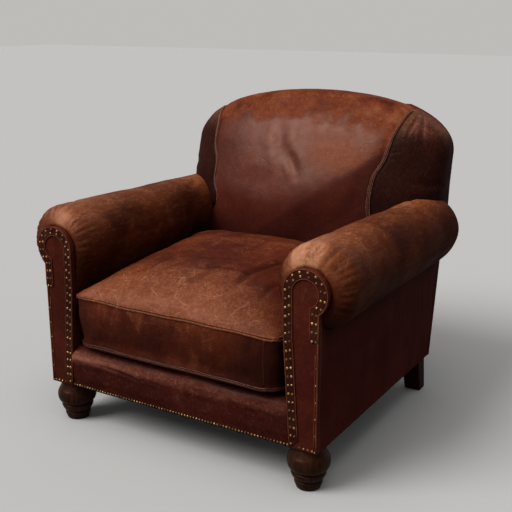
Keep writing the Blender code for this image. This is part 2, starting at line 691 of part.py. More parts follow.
def add_rear_leg(side, word):
    x = side * POST_X
    top_y = rear_y(FRAME_BOTTOM, BACK_PANEL + LEG_SETBACK) - LEG_TOP[1] / 2
    rows = []
    for (wide, deep), y, z in ((LEG_SOLE, top_y + LEG_RAKE, 0.0), (LEG_TOP, top_y, FRAME_BOTTOM - JOINT_GAP)):
        corners = ((-1, -1), (1, -1), (1, 1), (-1, 1))
        rows.append([(x + wide / 2 * a, y + deep / 2 * b, z) for a, b in corners])
    leg = loft(f"{word}_rear_leg", rows, BLACK_WOOD, closed=True, ends=True)
    edge = leg.modifiers.new("edges", "BEVEL")
    edge.width = 0.0025
    edge.segments = 1


def leaning_box(name, size, x, z, depth_in, material, bevel=0.002):
    """A box whose back face lies parallel to the outside back, a depth inside it."""
    low = z - size[2] / 2
    high = z + size[2] / 2
    near = depth_in + size[1]
    half = size[0] / 2
    outline = [(rear_y(h, d), h) for h, d in ((low, near), (high, near), (high, depth_in), (low, depth_in))]
    rows = [[(x + half * a, y, h) for y, h in outline] for a in (-1, 1)]
    thing = loft(name, rows, material, closed=True, ends=True)
    if bevel:
        edge = thing.modifiers.new("edges", "BEVEL")
        edge.width = bevel
        edge.segments = 1
    return thing


def add_frame():
    inside = BACK_FRAME_DEPTH
    between = 2 * (POST_IN - JOINT_GAP)
    rail_z = FRAME_BOTTOM + RAIL_TALL / 2
    post_back = POST_FRONT_Y + POST_DEPTH
    front_size = (between, RAIL_THICK, RAIL_TALL)
    box("front_rail", front_size, (0, POST_FRONT_Y + RAIL_THICK / 2, rail_z), FRAME_WOOD)
    leaning_box("rear_rail", (between, RAIL_THICK, RAIL_TALL), 0, rail_z, inside, FRAME_WOOD)
    post_top = BACK_SHOULDER_HEIGHT + POST_RISE
    rear_front = rear_y(FRAME_BOTTOM, inside + RAIL_THICK) - JOINT_GAP
    for side, word in ((-1, "left"), (1, "right")):
        x = side * POST_X
        tall = FRONT_POST_TOP - FRAME_BOTTOM
        post = box(
            f"{word}_front_post", (POST_WIDTH, POST_DEPTH, tall),
            (x, POST_FRONT_Y + POST_DEPTH / 2, FRAME_BOTTOM + tall / 2), FRAME_WOOD,
        )
        bore(post, f"{word}_stud_hole", side * (SIDE_X - FOOT_INSET_X))
        long = rear_front - post_back - JOINT_GAP
        middle = post_back + JOINT_GAP + long / 2
        box(f"{word}_rail", (POST_WIDTH * RAIL_SHARE, long, RAIL_TALL), (x, middle, rail_z), FRAME_WOOD)
        leaning_box(
            f"{word}_back_post", (POST_WIDTH, RAIL_THICK, post_top - FRAME_BOTTOM), x,
            (FRAME_BOTTOM + post_top) / 2, inside, FRAME_WOOD,
        )
        end = rear_y(ARM_RAIL_Z - ARM_RAIL_THICK / 2, inside + RAIL_THICK) - JOINT_GAP
        box(
            f"{word}_arm_rail", (POST_WIDTH, end - POST_FRONT_Y, ARM_RAIL_THICK),
            (x, (end + POST_FRONT_Y) / 2, ARM_RAIL_Z), FRAME_WOOD,
        )
        add_corner_blocks(side, word, post_back, rear_front)
        add_arm_padding(side, word)
    leaning_box(
        "back_lower_rail", (between, RAIL_THICK, LOWER_RAIL_TALL), 0, LOWER_RAIL_HEIGHT, inside, FRAME_WOOD,
    )
    add_top_rail(inside)
    for i in range(WEB_COUNT):
        leaning_box(
            f"back_webbing_{i + 1}", (2 * (POST_X + POST_WIDTH * WEB_SHARE), WEB_THICK, WEB_WIDTH), 0,
            WEB_LOW + WEB_PITCH * i, inside + RAIL_THICK + JOINT_GAP, WEBBING, 0,
        )
    pad_middle = (WEB_LOW + WEB_HIGH) / 2
    pad_tall = WEB_HIGH - WEB_LOW + 2 * BACK_PAD_PAST_WEBS
    pad_front = rear_y(pad_middle, inside + RAIL_THICK + 2 * JOINT_GAP + WEB_THICK)
    pad = pad_front - back_front_y(pad_middle) - BACK_COVER - BACK_PAD_FRONT_GAP
    leaning_box(
        "back_padding", (2 * (SEAM_LOW - BACK_PAD_SIDE_GAP), pad, pad_tall), 0, pad_middle,
        inside + RAIL_THICK + 2 * JOINT_GAP + WEB_THICK, FOAM, 0.01,
    )


def bore(post, name, x):
    """The hole up into a front post for its foot's stud."""
    high = FRAME_BOTTOM + FOOT_STUD_LENGTH + STUD_BORE_SPARE
    low = BODY_BOTTOM - STUD_BORE_SPARE
    rim = arc((x, FOOT_Y), FOOT_STUD_RADIUS + JOINT_GAP, 0, 2 * math.pi, 13)[:-1]
    boolean(post, prism(name, rim, low, high, None, axis="z", collection=cutters), "DIFFERENCE")


def add_corner_blocks(side, word, post_back, rear_front):
    """Triangular blocks that tie the seat frame's corners; the front ones hold the foot studs."""
    edge = side * (POST_X - POST_WIDTH * RAIL_SHARE / 2 - JOINT_GAP)
    low, high = FRAME_BOTTOM, FRAME_BOTTOM + BLOCK_THICK
    for place_word, y, way in (("front", post_back + JOINT_GAP, 1), ("rear", rear_front, -1)):
        leg = BLOCK_LEG
        outline = [(edge, y), (edge, y + way * leg), (edge - side * leg, y)]
        prism(f"{word}_{place_word}_block", outline, low, high, FRAME_WOOD, axis="z")


def add_arm_padding(side, word):
    """The foam roll that lies on the arm rail."""
    flat = ARM_RAIL_Z + ARM_RAIL_THICK / 2 + JOINT_GAP
    rows = []
    for y in (FACING_BOARD + ROLL_SHOULDER, arm_relief_y() - JOINT_GAP):
        x, z, radius, _ = roll_at(y)
        reach = radius - ARM_COVER - PADDING_GAP
        low = math.asin((flat - z) / reach)
        rows.append([(side * a, y, b) for a, b in arc((x, z), reach, low, math.pi - low, 16)])
    loft(f"{word}_arm_padding", rows, FOAM, closed=True, ends=True)


def arm_relief_y():
    """Where the inside of the arm's cover stops, in front of the back's frame."""
    return rear_y(FRAME_BOTTOM, BACK_FRAME_DEPTH + RAIL_THICK + WEB_THICK) - 2 * JOINT_GAP


def add_top_rail(inside):
    """A sawn rail whose top edge follows the dome of the back."""
    low = BACK_SHOULDER_HEIGHT - TOP_RAIL_OVERLAP
    wide = POST_IN - JOINT_GAP
    spring = BACK_SHOULDER_HEIGHT - TOP_RAIL_MARGIN / 3
    heights = [spring + (BACK_DOME - TOP_RAIL_OVERLAP) * i / 5 for i in range(6)]
    edge = [(wide, low)]
    edge += [(min(wide, back_half_width(z + TOP_RAIL_MARGIN) - TOP_RAIL_MARGIN), z) for z in heights]
    outline = edge + mirrored(edge, -1)[::-1]
    rows = [[(x, rear_y(z, depth), z) for x, z in outline] for depth in (inside, inside + RAIL_THICK)]
    loft("back_top_rail", rows, FRAME_WOOD, closed=True, ends=True)


def add_springs():
    start = 2 * BORDER_SETBACK + LIP_RADIUS
    end = rear_y(RAIL_TOP, BACK_PANEL + RAIL_THICK * 0.5)
    waves = round((end - start) / SPRING_HALF_WAVE)
    step = (end - start) / waves
    room = 2 * (POST_IN - SPRING_SWING - SPRING_SIDE_GAP)
    for i in range(SPRING_COUNT):
        x = -room / 2 + room * (i + 0.5) / SPRING_COUNT
        points = [(x, start, SPRING_Z)]
        for k in range(waves):
            swing = SPRING_SWING * (1 if k % 2 else -1)
            points += [(x + swing, start + step * (k + turn), SPRING_Z) for turn in (0.2, 0.8)]
        points.append((x, end, SPRING_Z))
        curve = bpy.data.curves.new("wire", "CURVE")
        curve.dimensions = "3D"
        curve.bevel_depth = WIRE_RADIUS
        curve.bevel_resolution = 0
        curve.use_fill_caps = True
        line = curve.splines.new("POLY")
        line.points.add(len(points) - 1)
        for spot, point in zip(line.points, points):
            spot.co = (*point, 1)
        wire = bpy.data.objects.new(f"seat_spring_{i + 1}", curve)
        chair.objects.link(wire)
        wire.parent = root
        curve.materials.append(SPRING_STEEL)


def add_deck_and_dust_cover():
    half = facing_inner_x(DECK_HEIGHT) - JOINT_GAP
    start = BORDER_SETBACK + LIP_DEPTH + JOINT_GAP
    end = arm_relief_y()
    size = (2 * half, end - start, DECK_THICK)
    box("spring_deck", size, (0, (start + end) / 2, DECK_HEIGHT - DECK_THICK / 2), BLACK_CLOTH, 0)
    x = POST_X + POST_WIDTH * DUST_COVER_SHARE
    front, rear = POST_FRONT_Y + POST_SETBACK, rear_y(BODY_BOTTOM, BACK_PANEL + LEG_SETBACK)
    cut = DUST_COVER_CORNER
    outline = [(x - cut, front), (x, front + cut), (x, rear - cut), (x - cut, rear)]
    outline += mirrored(outline, -1)[::-1]
    prism(
        "dust_cover", outline, FRAME_BOTTOM - JOINT_GAP - DUST_COVER, FRAME_BOTTOM - JOINT_GAP,
        BLACK_CLOTH, axis="z",
    )


def arm_envelope(side, word):
    """Everything inside and outside of one arm's skin, for cutting the back to fit round it."""
    places, rear = arm_places()
    whole = arm_section(BODY_DEPTH)
    x, z, radius, _ = roll_at(BODY_DEPTH)
    kept = [i for i, p in enumerate(whole) if p[0] < x or p[1] > z - radius * 0.3]
    behind = [(y, shrink) for y, shrink in places if y > BACK_FRONT_Y - BACK_DEPTH]
    behind += [(rear + BACK_DEPTH, behind[-1][1])]
    rows = []
    for y, shrink in behind:
        row = arm_row(y, rear, side, grow=JOINT_GAP, shrink=shrink)
        row = [row[i] for i in kept]
        far = side * (SIDE_X + BACK_DEPTH)
        outside = [(far, row[-1][1], row[-1][2]), (far, row[0][1], BODY_BOTTOM)]
        rows.append([(row[0][0], row[0][1], BODY_BOTTOM)] + row + outside)
    return loft(f"{word}_arm_envelope", rows, None, closed=True, ends=True, collection=cutters)


relief_top = ROLL_HEIGHT + ROLL_RADIUS + ARM_COVER
relief_size = (2 * (POST_IN + POST_WIDTH + JOINT_GAP), 2 * BACK_DEPTH, relief_top)
relief_centre = (0, arm_relief_y() + BACK_DEPTH, relief_top / 2)
arm_relief = box("arm_relief", relief_size, relief_centre, None, 0, collection=cutters)
arm_envelopes = [arm_envelope(-1, "left"), arm_envelope(1, "right")]
for side, word in ((-1, "left"), (1, "right")):
    add_arm(side, word)
    add_outside_arm(side, word)
    add_facing(side, word)
    add_foot(side, word)
    add_rear_leg(side, word)
add_front_border()
add_back()
add_cushion()
add_frame()
add_springs()
add_deck_and_dust_cover()
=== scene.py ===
"""Looks of the worn club chair: leather covers, cushion, nails, stitching, feet, floor and light.

Shapes are worked out in chair coordinates, with y from the front of the arm facings to the
back, and moved to the frame when each mesh is made.
"""

import json
import math

import bmesh
import bpy
import numpy as np
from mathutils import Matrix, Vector, noise
from mathutils.bvhtree import BVHTree

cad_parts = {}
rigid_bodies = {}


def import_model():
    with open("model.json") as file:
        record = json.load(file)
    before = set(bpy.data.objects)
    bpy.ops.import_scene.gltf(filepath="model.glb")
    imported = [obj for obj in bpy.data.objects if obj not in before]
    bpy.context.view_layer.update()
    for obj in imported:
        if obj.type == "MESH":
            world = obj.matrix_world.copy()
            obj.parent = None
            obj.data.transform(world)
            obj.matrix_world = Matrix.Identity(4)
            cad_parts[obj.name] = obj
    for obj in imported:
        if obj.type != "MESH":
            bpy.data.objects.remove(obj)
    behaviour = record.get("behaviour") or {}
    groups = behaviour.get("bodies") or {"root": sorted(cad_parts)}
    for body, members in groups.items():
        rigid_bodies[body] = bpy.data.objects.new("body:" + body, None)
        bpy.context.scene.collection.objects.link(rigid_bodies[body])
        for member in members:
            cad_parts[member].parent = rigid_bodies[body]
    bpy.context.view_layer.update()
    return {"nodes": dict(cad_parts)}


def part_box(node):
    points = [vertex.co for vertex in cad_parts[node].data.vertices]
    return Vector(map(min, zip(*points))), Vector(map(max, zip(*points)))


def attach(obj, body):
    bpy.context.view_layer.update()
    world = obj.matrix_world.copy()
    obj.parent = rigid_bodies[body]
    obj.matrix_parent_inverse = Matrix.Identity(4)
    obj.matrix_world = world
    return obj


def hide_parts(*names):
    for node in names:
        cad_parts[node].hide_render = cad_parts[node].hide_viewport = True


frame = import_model()

# Sizes shared with the solids, in metres
SIDE_X = 0.39
FACING_BOARD = 0.013
BODY_DEPTH = 0.686
BODY_BOTTOM = 0.106
DECK_HEIGHT = 0.218
RAKE = math.tan(math.radians(9.9))
HEAD_RADIUS, HEAD_FROM_SIDE, HEAD_HEIGHT = 0.055, 0.035, 0.4725
FOOT_WIDTH, WAIST_WIDTH = 0.070, 0.088
ROLL_RADIUS, ROLL_FROM_SIDE, ROLL_HEIGHT = 0.0985, 0.029, 0.4785
ROLL_DROP, ROLL_TAPER = 0.011, 0.007
ROLL_SHOULDER, ROLL_END_ROUND = 0.045, 0.062
BACK_WIDE, BACK_SHOULDER, BACK_DOME, DOME_POWER = 0.4005, 0.6715, 0.153, 2.15
FRONT_POWER, REAR_POWER = 2.5, 7.0         # how square the back's plan is, before and behind its widest place
HEAD_START, WAIST_DROP = 0.15, 0.10        # where the facing's head begins (radians), and its waist
ROLL_UNDER, ROLL_INNER = math.radians(-76), math.radians(220)
BACK_INSET = 0.008                         # the outside back's edge, in from the back's widest line
FOOT_IN = 0.042                            # the feet's middle, in from the side and the front
BACK_FRONT_Y, BACK_LEAN_HEIGHT, BACK_LEAN, BACK_TOP_Y = 0.548, 0.520, 0.450, 0.722
SEAM_PATH = np.array([
    (0.20, 0.325), (0.40, 0.315), (0.43, 0.298), (0.47, 0.268), (0.51, 0.243), (0.54, 0.237),
    (0.578, 0.236), (0.617, 0.239), (0.635, 0.249), (0.657, 0.260), (0.687, 0.264), (0.721, 0.268),
    (0.749, 0.278), (0.781, 0.288), (0.830, 0.298),
])   # height and distance from the middle, along the seam
LEFT_SEAM_OUT, BORDER_LOW = 0.042, 0.490
CUSHION_THICK, CUSHION_RISE = 0.140, 0.045
JOINT_GAP, COVER = 0.0005, 0.004           # between pieces that touch, and the thickness of a cover
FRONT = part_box("right_arm")[0].y - FACING_BOARD - JOINT_GAP   # the facings' front plane in the frame
BAND_PITCH, EDGE_PITCH, NAIL_RADIUS, NAIL_RISE = 0.0195, 0.0085, 0.0034, 0.0024
BAND_END = 0.370                            # how far down the outer edge the nailed band comes

# The photograph's camera
CAMERA_AT = (1.165, -1.534 + FRONT, 1.041)
CAMERA_AZIMUTH, CAMERA_ELEVATION = math.radians(31.26), math.radians(15.68)
CAMERA_LENS = 61.16

WAX_TINT = (1.0, 0.57, 0.42, 1.0)   # the old wax reddens what the leather and wood reflect

# Floor, backdrop and light
FLOOR_COLOUR = (0.50, 0.49, 0.475, 1)
FLOOR_BOUNCE = (0.16, 0.15, 0.14, 1)
WALL_COLOUR = (0.510, 0.504, 0.488, 1)
ROOM_COLOUR, ROOM_LIGHT = (0.94, 0.97, 1.0, 1), 0.28
MIRRORED_SHARE = 0.35
KEY_FROM, KEY_WIDTH, KEY_STRENGTH = (-34, 47), 32, 2.35
TOP_FROM, TOP_WIDTH, TOP_STRENGTH = (10, 80), 50, 0.9


# Shader helpers

class Value:
    """A socket whose maths is written with Python's operators."""

    def __init__(self, nodes, socket):
        self.nodes, self.socket = nodes, socket

    def _math(self, kind, *others):
        return self.nodes.add("ShaderNodeMath", {"operation": kind}, *others)

    def __add__(self, other):
        return self._math("ADD", self, other)

    def __radd__(self, other):
        return self._math("ADD", other, self)

    def __sub__(self, other):
        return self._math("SUBTRACT", self, other)

    def __rsub__(self, other):
        return self._math("SUBTRACT", other, self)

    def __mul__(self, other):
        return self._math("MULTIPLY", self, other)

    def step(self, low, high):
        """0 below low, 1 above high, smooth between."""
        settings = {"interpolation_type": "SMOOTHSTEP", "clamp": True}
        return self.nodes.add("ShaderNodeMapRange", settings, self, low, high, 0.0, 1.0)


class Nodes:
    """Adds shader nodes: a type, its settings, then its sockets' values or links in order or by name."""

    def __init__(self, owner):
        owner.use_nodes = True
        self.owner, self.tree = owner, owner.node_tree
        self.shader = self.tree.nodes.get("Principled BSDF")

    def plug(self, target, value):
        if isinstance(value, Value):
            self.tree.links.new(value.socket, target)
        elif isinstance(value, (tuple, list)) and len(value) == 3 and target.type == "RGBA":
            target.default_value = (*value, 1)
        else:
            target.default_value = value

    def add(self, kind, settings=None, *values, out=0, **named):
        node = self.tree.nodes.new(kind)
        for key, value in (settings or {}).items():
            setattr(node, key, value)
        for target, value in zip([s for s in node.inputs if s.enabled], values):
            self.plug(target, value)
        for key, value in named.items():
            self.plug(node.inputs[key.replace("_", " ")], value)
        return Value(self, node.outputs[out])

    def set(self, **sockets):
        for key, value in sockets.items():
            self.plug(self.shader.inputs[key.replace("_", " ")], value)

    def dry(self, share, colour, relief):
        """Mixes in the same colour without its wax, by a share that may vary over the surface."""
        matte = self.add(
            "ShaderNodeBsdfPrincipled", None,
            Base_Color=colour, Normal=relief, Roughness=0.72, Specular_IOR_Level=0.03,
        )
        waxed = Value(self, self.shader.outputs[0])
        self.show("Material Output", self.add("ShaderNodeMixShader", None, share, waxed, matte))

    def show(self, output, shader):
        self.plug(self.tree.nodes[output].inputs["Surface"], shader)

    def place(self):
        return self.add("ShaderNodeTexCoord", None, out="Object")

    def attribute(self, name):
        return self.add("ShaderNodeAttribute", {"attribute_name": name}, out="Fac")

    def noise(self, where, scale, detail=3.0, rough=0.55, twist=0.0):
        return self.add(
            "ShaderNodeTexNoise", None,
            Vector=where, Scale=scale, Detail=detail, Roughness=rough, Distortion=twist,
        )

    def stretch(self, where, scale):
        return self.add("ShaderNodeMapping", None, Vector=where, Scale=scale)

    def bend(self, where, amount, scale):
        """The coordinates pushed about by a noise, so that cells lose their straight edges."""
        shift = self.add("ShaderNodeTexNoise", None, out="Color", Vector=where, Scale=scale, Detail=2.0)
        push = self.add("ShaderNodeVectorMath", {"operation": "SCALE"}, Vector=shift, Scale=amount)
        return self.add("ShaderNodeVectorMath", {"operation": "ADD"}, where, push)

    def cracks(self, where, scale, width):
        """1 on the edges between cells, falling to 0 a share of a cell away."""
        edge = self.add("ShaderNodeTexVoronoi", {"feature": "DISTANCE_TO_EDGE"}, Vector=where, Scale=scale)
        return 1 - edge.step(0.0, width)

    def mix(self, share, low, high):
        return self.add("ShaderNodeMix", {"data_type": "RGBA"}, share, low, high, out=2)

    def bump(self, height, distance, strength):
        return self.add("ShaderNodeBump", None, Height=height, Distance=distance, Strength=strength)


def new_material(name):
    return Nodes(bpy.data.materials.new(name))


def leather(name, deep, body, tan, pale, rough, gloss, crackle=0.3, mottle=1.0, run=(1.0, 1.0, 1.0)):
    """Waxed leather. One mesh attribute brings out the tan and the pale, for real wear and for painted
    highlights and painted light; the shade attribute darkens it with painted shade; dull takes the wax off.
    Crackle is how much the fine veins show, mottle how uneven the colour is. Run stretches it."""
    n = new_material(name)
    at = n.place()
    wear = n.attribute("wear")
    shade = n.attribute("shade")
    cloud = n.noise(at, 6.0, 3.0, 0.6)
    patch = n.noise(n.stretch(at, run), 30.0, 5.0, 0.68, 0.3)
    fibre = n.noise(n.bend(n.stretch(at, run), 0.02, 14.0), 150.0, 4.0, 0.75, 0.8)
    veins = n.cracks(n.bend(at, 0.035, 22.0), 60.0, 0.055)
    fine_veins = n.cracks(n.bend(at, 0.015, 60.0), 150.0, 0.09)
    long_veins = n.cracks(n.bend(at, 0.06, 10.0), 15.0, 0.022)
    broken = n.noise(at, 22.0, 2.0).step(0.42, 0.60)
    # How far towards the tan: real wear, and painted highlights and painted light where the mesh asks for
    # them.
    worn_and_lit = (wear * 1.2 + (patch - 0.5) * (1.3 * mottle) + (cloud - 0.5) * 0.8 - 0.06).step(0.10, 1.0)
    colour = n.mix(cloud.step(0.35, 0.65), deep, body)
    colour = n.mix(worn_and_lit * 0.95, colour, tan)
    colour = n.mix(patch.step(0.48, 0.72) * 0.30, colour, tuple(c * 0.62 for c in body))
    blotch = n.noise(n.bend(n.stretch(at, run), 0.05, 9.0), 17.0, 5.0, 0.7, 0.6)
    colour = n.mix(blotch.step(0.50, 0.66) * worn_and_lit * 0.42, colour, n.mix(0.35, tan, pale))
    colour = n.mix((0.46 - blotch).step(0.0, 0.14) * 0.40, colour, deep)
    colour = n.mix(fibre.step(0.48, 0.70) * (worn_and_lit * 0.50 + 0.10) * mottle, colour, pale)
    freckles = n.noise(at, 240.0, 4.0, 0.75).step(0.53, 0.66)
    colour = n.mix(freckles * (worn_and_lit * 0.35 + 0.12), colour, tan)
    marks = (veins * 0.55 + fine_veins * 0.35 + long_veins * 0.8) * broken * (worn_and_lit * 0.8 + 0.05) * crackle
    colour = n.mix(marks, colour, pale)
    # Pale where the mesh value is high: scuffs, and painted highlights such as the arm's shoulder and the
    # cushion's front.
    scuff_and_highlight = (wear - 0.72).step(0.0, 0.55) * patch.step(0.30, 0.60)
    colour = n.mix(scuff_and_highlight * 0.85, colour, pale)
    spots = n.noise(at, 70.0, 4.0, 0.7).step(0.60, 0.74)
    colour = n.mix(spots * 0.40, colour, deep)
    # Painted shade from the mesh's shade values.
    colour = n.mix(shade * 0.88, colour, tuple(c * 0.30 for c in deep))
    pores = n.bend(at, 0.003, 300.0)
    grain = n.add("ShaderNodeTexVoronoi", {"feature": "SMOOTH_F1"}, Vector=pores, Scale=560.0)
    height = grain * 0.26 + fibre * 0.22 + patch * 0.18
    height = height - (veins * 0.35 + fine_veins * 0.25 + long_veins * 0.6) * broken * crackle
    relief = n.bump(height, 0.0011, 0.55)
    n.set(
        Base_Color=colour,
        Roughness=rough + (worn_and_lit - 0.3) * 0.16 + (fibre - 0.5) * 0.16 + marks * 0.15,
        Normal=relief,
        Specular_IOR_Level=gloss,
        Specular_Tint=WAX_TINT,
    )
    n.dry(n.attribute("dull") + (patch - 0.5) * 0.4, colour, relief)
    return n.owner


def wood(name, dark, light, rough, gloss=0.12):
    n = new_material(name)
    at = n.place()
    rings = n.noise(n.stretch(at, (60.0, 60.0, 6.0)), 3.0, 4.0, 0.6, 0.8)
    blotch = n.noise(at, 18.0, 3.0)
    knocks = n.noise(at, 120.0, 3.0, 0.7).step(0.60, 0.72)
    colour = n.mix(rings.step(0.35, 0.7), dark, light)
    colour = n.mix(blotch.step(0.5, 0.8) * 0.4, colour, tuple(c * 1.5 for c in light))
    colour = n.mix(knocks * 0.5, colour, tuple(c * 0.4 for c in dark))
    n.set(
        Base_Color=colour, Roughness=rough + (rings - 0.5) * 0.12 + knocks * 0.2,
        Normal=n.bump(rings - knocks * 0.8, 0.0006, 0.4), Specular_IOR_Level=gloss, Specular_Tint=WAX_TINT,
    )
    return n.owner


def old_brass(name):
    n = new_material(name)
    at = n.place()
    nail = n.noise(at, 45.0, 1.0, 0.5).step(0.40, 0.62)
    tarnish = (n.noise(at, 300.0, 3.0, 0.7).step(0.36, 0.62) * 0.6 + nail * 0.6).step(0.1, 1.0)
    colour = n.mix(tarnish, (0.55, 0.33, 0.13), (0.075, 0.034, 0.016))
    n.set(
        Base_Color=colour, Metallic=0.90 - tarnish * 0.35, Roughness=0.34 + tarnish * 0.25,
        Normal=n.bump(tarnish, 0.0003, 0.4),
    )
    return n.owner


def cloth(name, dark, light, threads):
    """A plain weave: two sets of threads crossing, in object coordinates."""
    n = new_material(name)
    at = n.place()
    across, along = (
        n.add("ShaderNodeTexWave", {"bands_direction": way}, Vector=at, Scale=threads, Distortion=0.4)
        for way in ("X", "Y")
    )
    weave = across * along
    soil = n.noise(at, 14.0, 4.0, 0.6)
    colour = n.mix(weave.step(0.1, 0.7), dark, light)
    colour = n.mix(soil.step(0.5, 0.8) * 0.4, colour, dark)
    n.set(Base_Color=colour, Roughness=0.9 + (soil - 0.5) * 0.1, Normal=n.bump(weave, 0.0004, 0.5))
    return n.owner


def foam(name):
    n = new_material(name)
    at = n.place()
    pores = n.cracks(at, 260.0, 0.35)
    age = n.noise(at, 9.0, 3.0)
    colour = n.mix(age.step(0.35, 0.7), (0.62, 0.50, 0.26), (0.72, 0.63, 0.40))
    n.set(Base_Color=colour, Roughness=0.92 + (age - 0.5) * 0.08, Normal=n.bump(pores, 0.0006, 0.6))
    return n.owner


def steel(name):
    n = new_material(name)
    at = n.place()
    rust = n.noise(at, 45.0, 4.0, 0.7).step(0.52, 0.70)
    n.set(
        Base_Color=n.mix(rust, (0.42, 0.42, 0.42), (0.16, 0.07, 0.035)), Metallic=1 - rust * 0.7,
        Roughness=0.32 + rust * 0.4, Normal=n.bump(rust, 0.0003, 0.4),
    )
    return n.owner


def thread(name, colour):
    n = new_material(name)
    at = n.place()
    twist = n.noise(at, 400.0, 2.0)
    n.set(
        Base_Color=n.mix(twist, tuple(c * 0.6 for c in colour), colour), Roughness=0.7 + (twist - 0.5) * 0.2,
        Normal=n.bump(twist, 0.0002, 0.5),
    )
    return n.owner


SEAT_LEATHER = leather(
    "seat_leather", (0.058, 0.0096, 0.0056), (0.092, 0.0160, 0.0058),
    (0.148, 0.0305, 0.0080), (0.34, 0.125, 0.062),
    0.40, 0.34, 1.15,
)
ARM_LEATHER = leather(
    "arm_leather", (0.038, 0.0070, 0.0032), (0.070, 0.0130, 0.0048),
    (0.190, 0.0440, 0.0115), (0.52, 0.225, 0.118),
    0.40, 0.40, 0.50, 0.55, (1.0, 0.25, 1.0),
)
BACK_LEATHER = leather(
    "back_leather", (0.056, 0.0092, 0.0055), (0.084, 0.0145, 0.0085),
    (0.155, 0.0310, 0.0092), (0.30, 0.100, 0.046),
    0.40, 0.42, 0.35,
)
BORDER_LEATHER = leather(
    "border_leather", (0.022, 0.0044, 0.0030), (0.040, 0.0082, 0.0050),
    (0.120, 0.0320, 0.0160), (0.34, 0.150, 0.100),
    0.44, 0.25, 0.15,
)
PLAIN_LEATHER = leather(
    "plain_leather", (0.058, 0.0104, 0.0078), (0.094, 0.0170, 0.0125),
    (0.110, 0.0240, 0.0130), (0.20, 0.072, 0.040),
    0.60, 0.01, 0.25,
)
FACING_LEATHER = leather(
    "facing_leather", (0.050, 0.0084, 0.0052), (0.078, 0.0130, 0.0080),
    (0.125, 0.0280, 0.0145), (0.24, 0.088, 0.048),
    0.50, 0.04, 0.25,
)
LIP_LEATHER = leather(
    "lip_leather", (0.030, 0.0044, 0.0030), (0.046, 0.0070, 0.0046),
    (0.105, 0.0205, 0.0115), (0.31, 0.120, 0.075),
    0.42, 0.26, 0.25,
)
BAND_LEATHER = leather(
    "band_leather", (0.026, 0.0050, 0.0034), (0.042, 0.0082, 0.0050),
    (0.085, 0.0220, 0.0115), (0.16, 0.058, 0.034),
    0.48, 0.06,
)
BRASS = old_brass("antique_brass")
FOOT_WOOD = wood("foot_wood", (0.012, 0.0042, 0.0024), (0.040, 0.013, 0.0065), 0.34)
LEG_WOOD = wood("leg_wood", (0.016, 0.006, 0.0035), (0.034, 0.013, 0.0075), 0.45, gloss=0.04)
RAIL_WOOD = wood("rail_wood", (0.36, 0.22, 0.11), (0.52, 0.36, 0.20), 0.68)
PALE_THREAD = thread("pale_thread", (0.34, 0.20, 0.12))
DARK_THREAD = thread("dark_thread", (0.10, 0.045, 0.025))
SPRING_WIRE = steel("spring_wire")
PADDING = foam("padding")
JUTE = cloth("jute_webbing", (0.20, 0.14, 0.08), (0.42, 0.32, 0.20), 160.0)
BLACK_CLOTH = cloth("black_cloth", (0.010, 0.010, 0.011), (0.035, 0.034, 0.034), 260.0)


# Mesh helpers

def to_frame(points):
    moved = np.array(points, float)
    moved[..., 1] += FRONT
    return moved


def outward(grid, inside):
    """Unit normals of a grid of points, turned away from a point inside it."""
    along = np.gradient(grid, axis=0)
    across = np.gradient(grid, axis=1)
    normal = np.cross(along, across)
    normal /= np.maximum(np.linalg.norm(normal, axis=2, keepdims=True), 1e-12)
    turned = np.mean(np.sum(normal * (grid - np.array(inside)), axis=2)) < 0
    return (-normal if turned else normal), turned


def push(grid, amount, inside):
    normal, _ = outward(grid, inside)
    return grid + normal * amount[..., None]


def lumps(grid, scale, seed, octaves=2):
    """Smooth noise of about -1 to 1 at each point of a grid."""
    shift = Vector((seed * 3.7, seed * 1.9, seed * 5.3))
    flat = grid.reshape(-1, 3)
    found = [noise.fractal(Vector(p) * scale + shift, 0.8, 2.1, octaves) for p in flat]
    return np.array(found).reshape(grid.shape[:-1])


def creases(u, v, lines):
    """Valleys along drawn lines: each is (points, half width, depth), in the grid's own two directions."""
    total = np.zeros_like(u)
    for points, wide, deep in lines:
        nearest = np.full_like(u, 1e9)
        taper = np.zeros_like(u)
        length = len(points) - 1
        for i, (a, b) in enumerate(zip(points, points[1:])):
            du, dv = b[0] - a[0], b[1] - a[1]
            t = np.clip(((u - a[0]) * du + (v - a[1]) * dv) / (du * du + dv * dv), 0, 1)
            gap = np.hypot(u - a[0] - t * du, v - a[1] - t * dv)
            closer = gap < nearest
            nearest = np.where(closer, gap, nearest)
            taper = np.where(closer, np.sin(np.pi * np.clip((i + t) / length, 0.04, 0.96)), taper)
        ratio = nearest / wide
        total += deep * taper ** 0.6 * (-np.exp(-ratio ** 2) + 0.45 * np.exp(-(ratio - 1.9) ** 2))
    return total


def keep(piece, finish, *nodes, slot=None, pad=None):
    """Gives a finished piece its material, hangs it on the root body and hides the solids it replaces."""
    piece.data.materials.clear()
    piece.data.materials.append(finish)
    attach(piece, "root")
    if nodes:
        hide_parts(*nodes)
    return piece


def link(name, mesh):
    piece = bpy.data.objects.new(name, mesh)
    bpy.context.scene.collection.objects.link(piece)
    return piece


def set_values(mesh, key, array):
    made = mesh.attributes.get(key) or mesh.attributes.new(key, "FLOAT", "POINT")
    made.data.foreach_set("value", np.asarray(array).astype(np.float32).ravel())


def vectors_of(mesh, key="co"):
    """The mesh's points, or their normals, as an array."""
    found = np.empty(len(mesh.vertices) * 3)
    mesh.vertices.foreach_get(key, found)
    return found.reshape(-1, 3)


def move_to(mesh, points):
    mesh.vertices.foreach_set("co", points.ravel())
    mesh.update()


def weld(mesh, gap, outwards=False):
    """Joins points that coincide and, if asked, turns the faces outwards."""
    work = bmesh.new()
    work.from_mesh(mesh)
    bmesh.ops.remove_doubles(work, verts=work.verts, dist=gap)
    if outwards:
        bmesh.ops.recalc_face_normals(work, faces=work.faces)
    work.to_mesh(mesh)
    work.free()


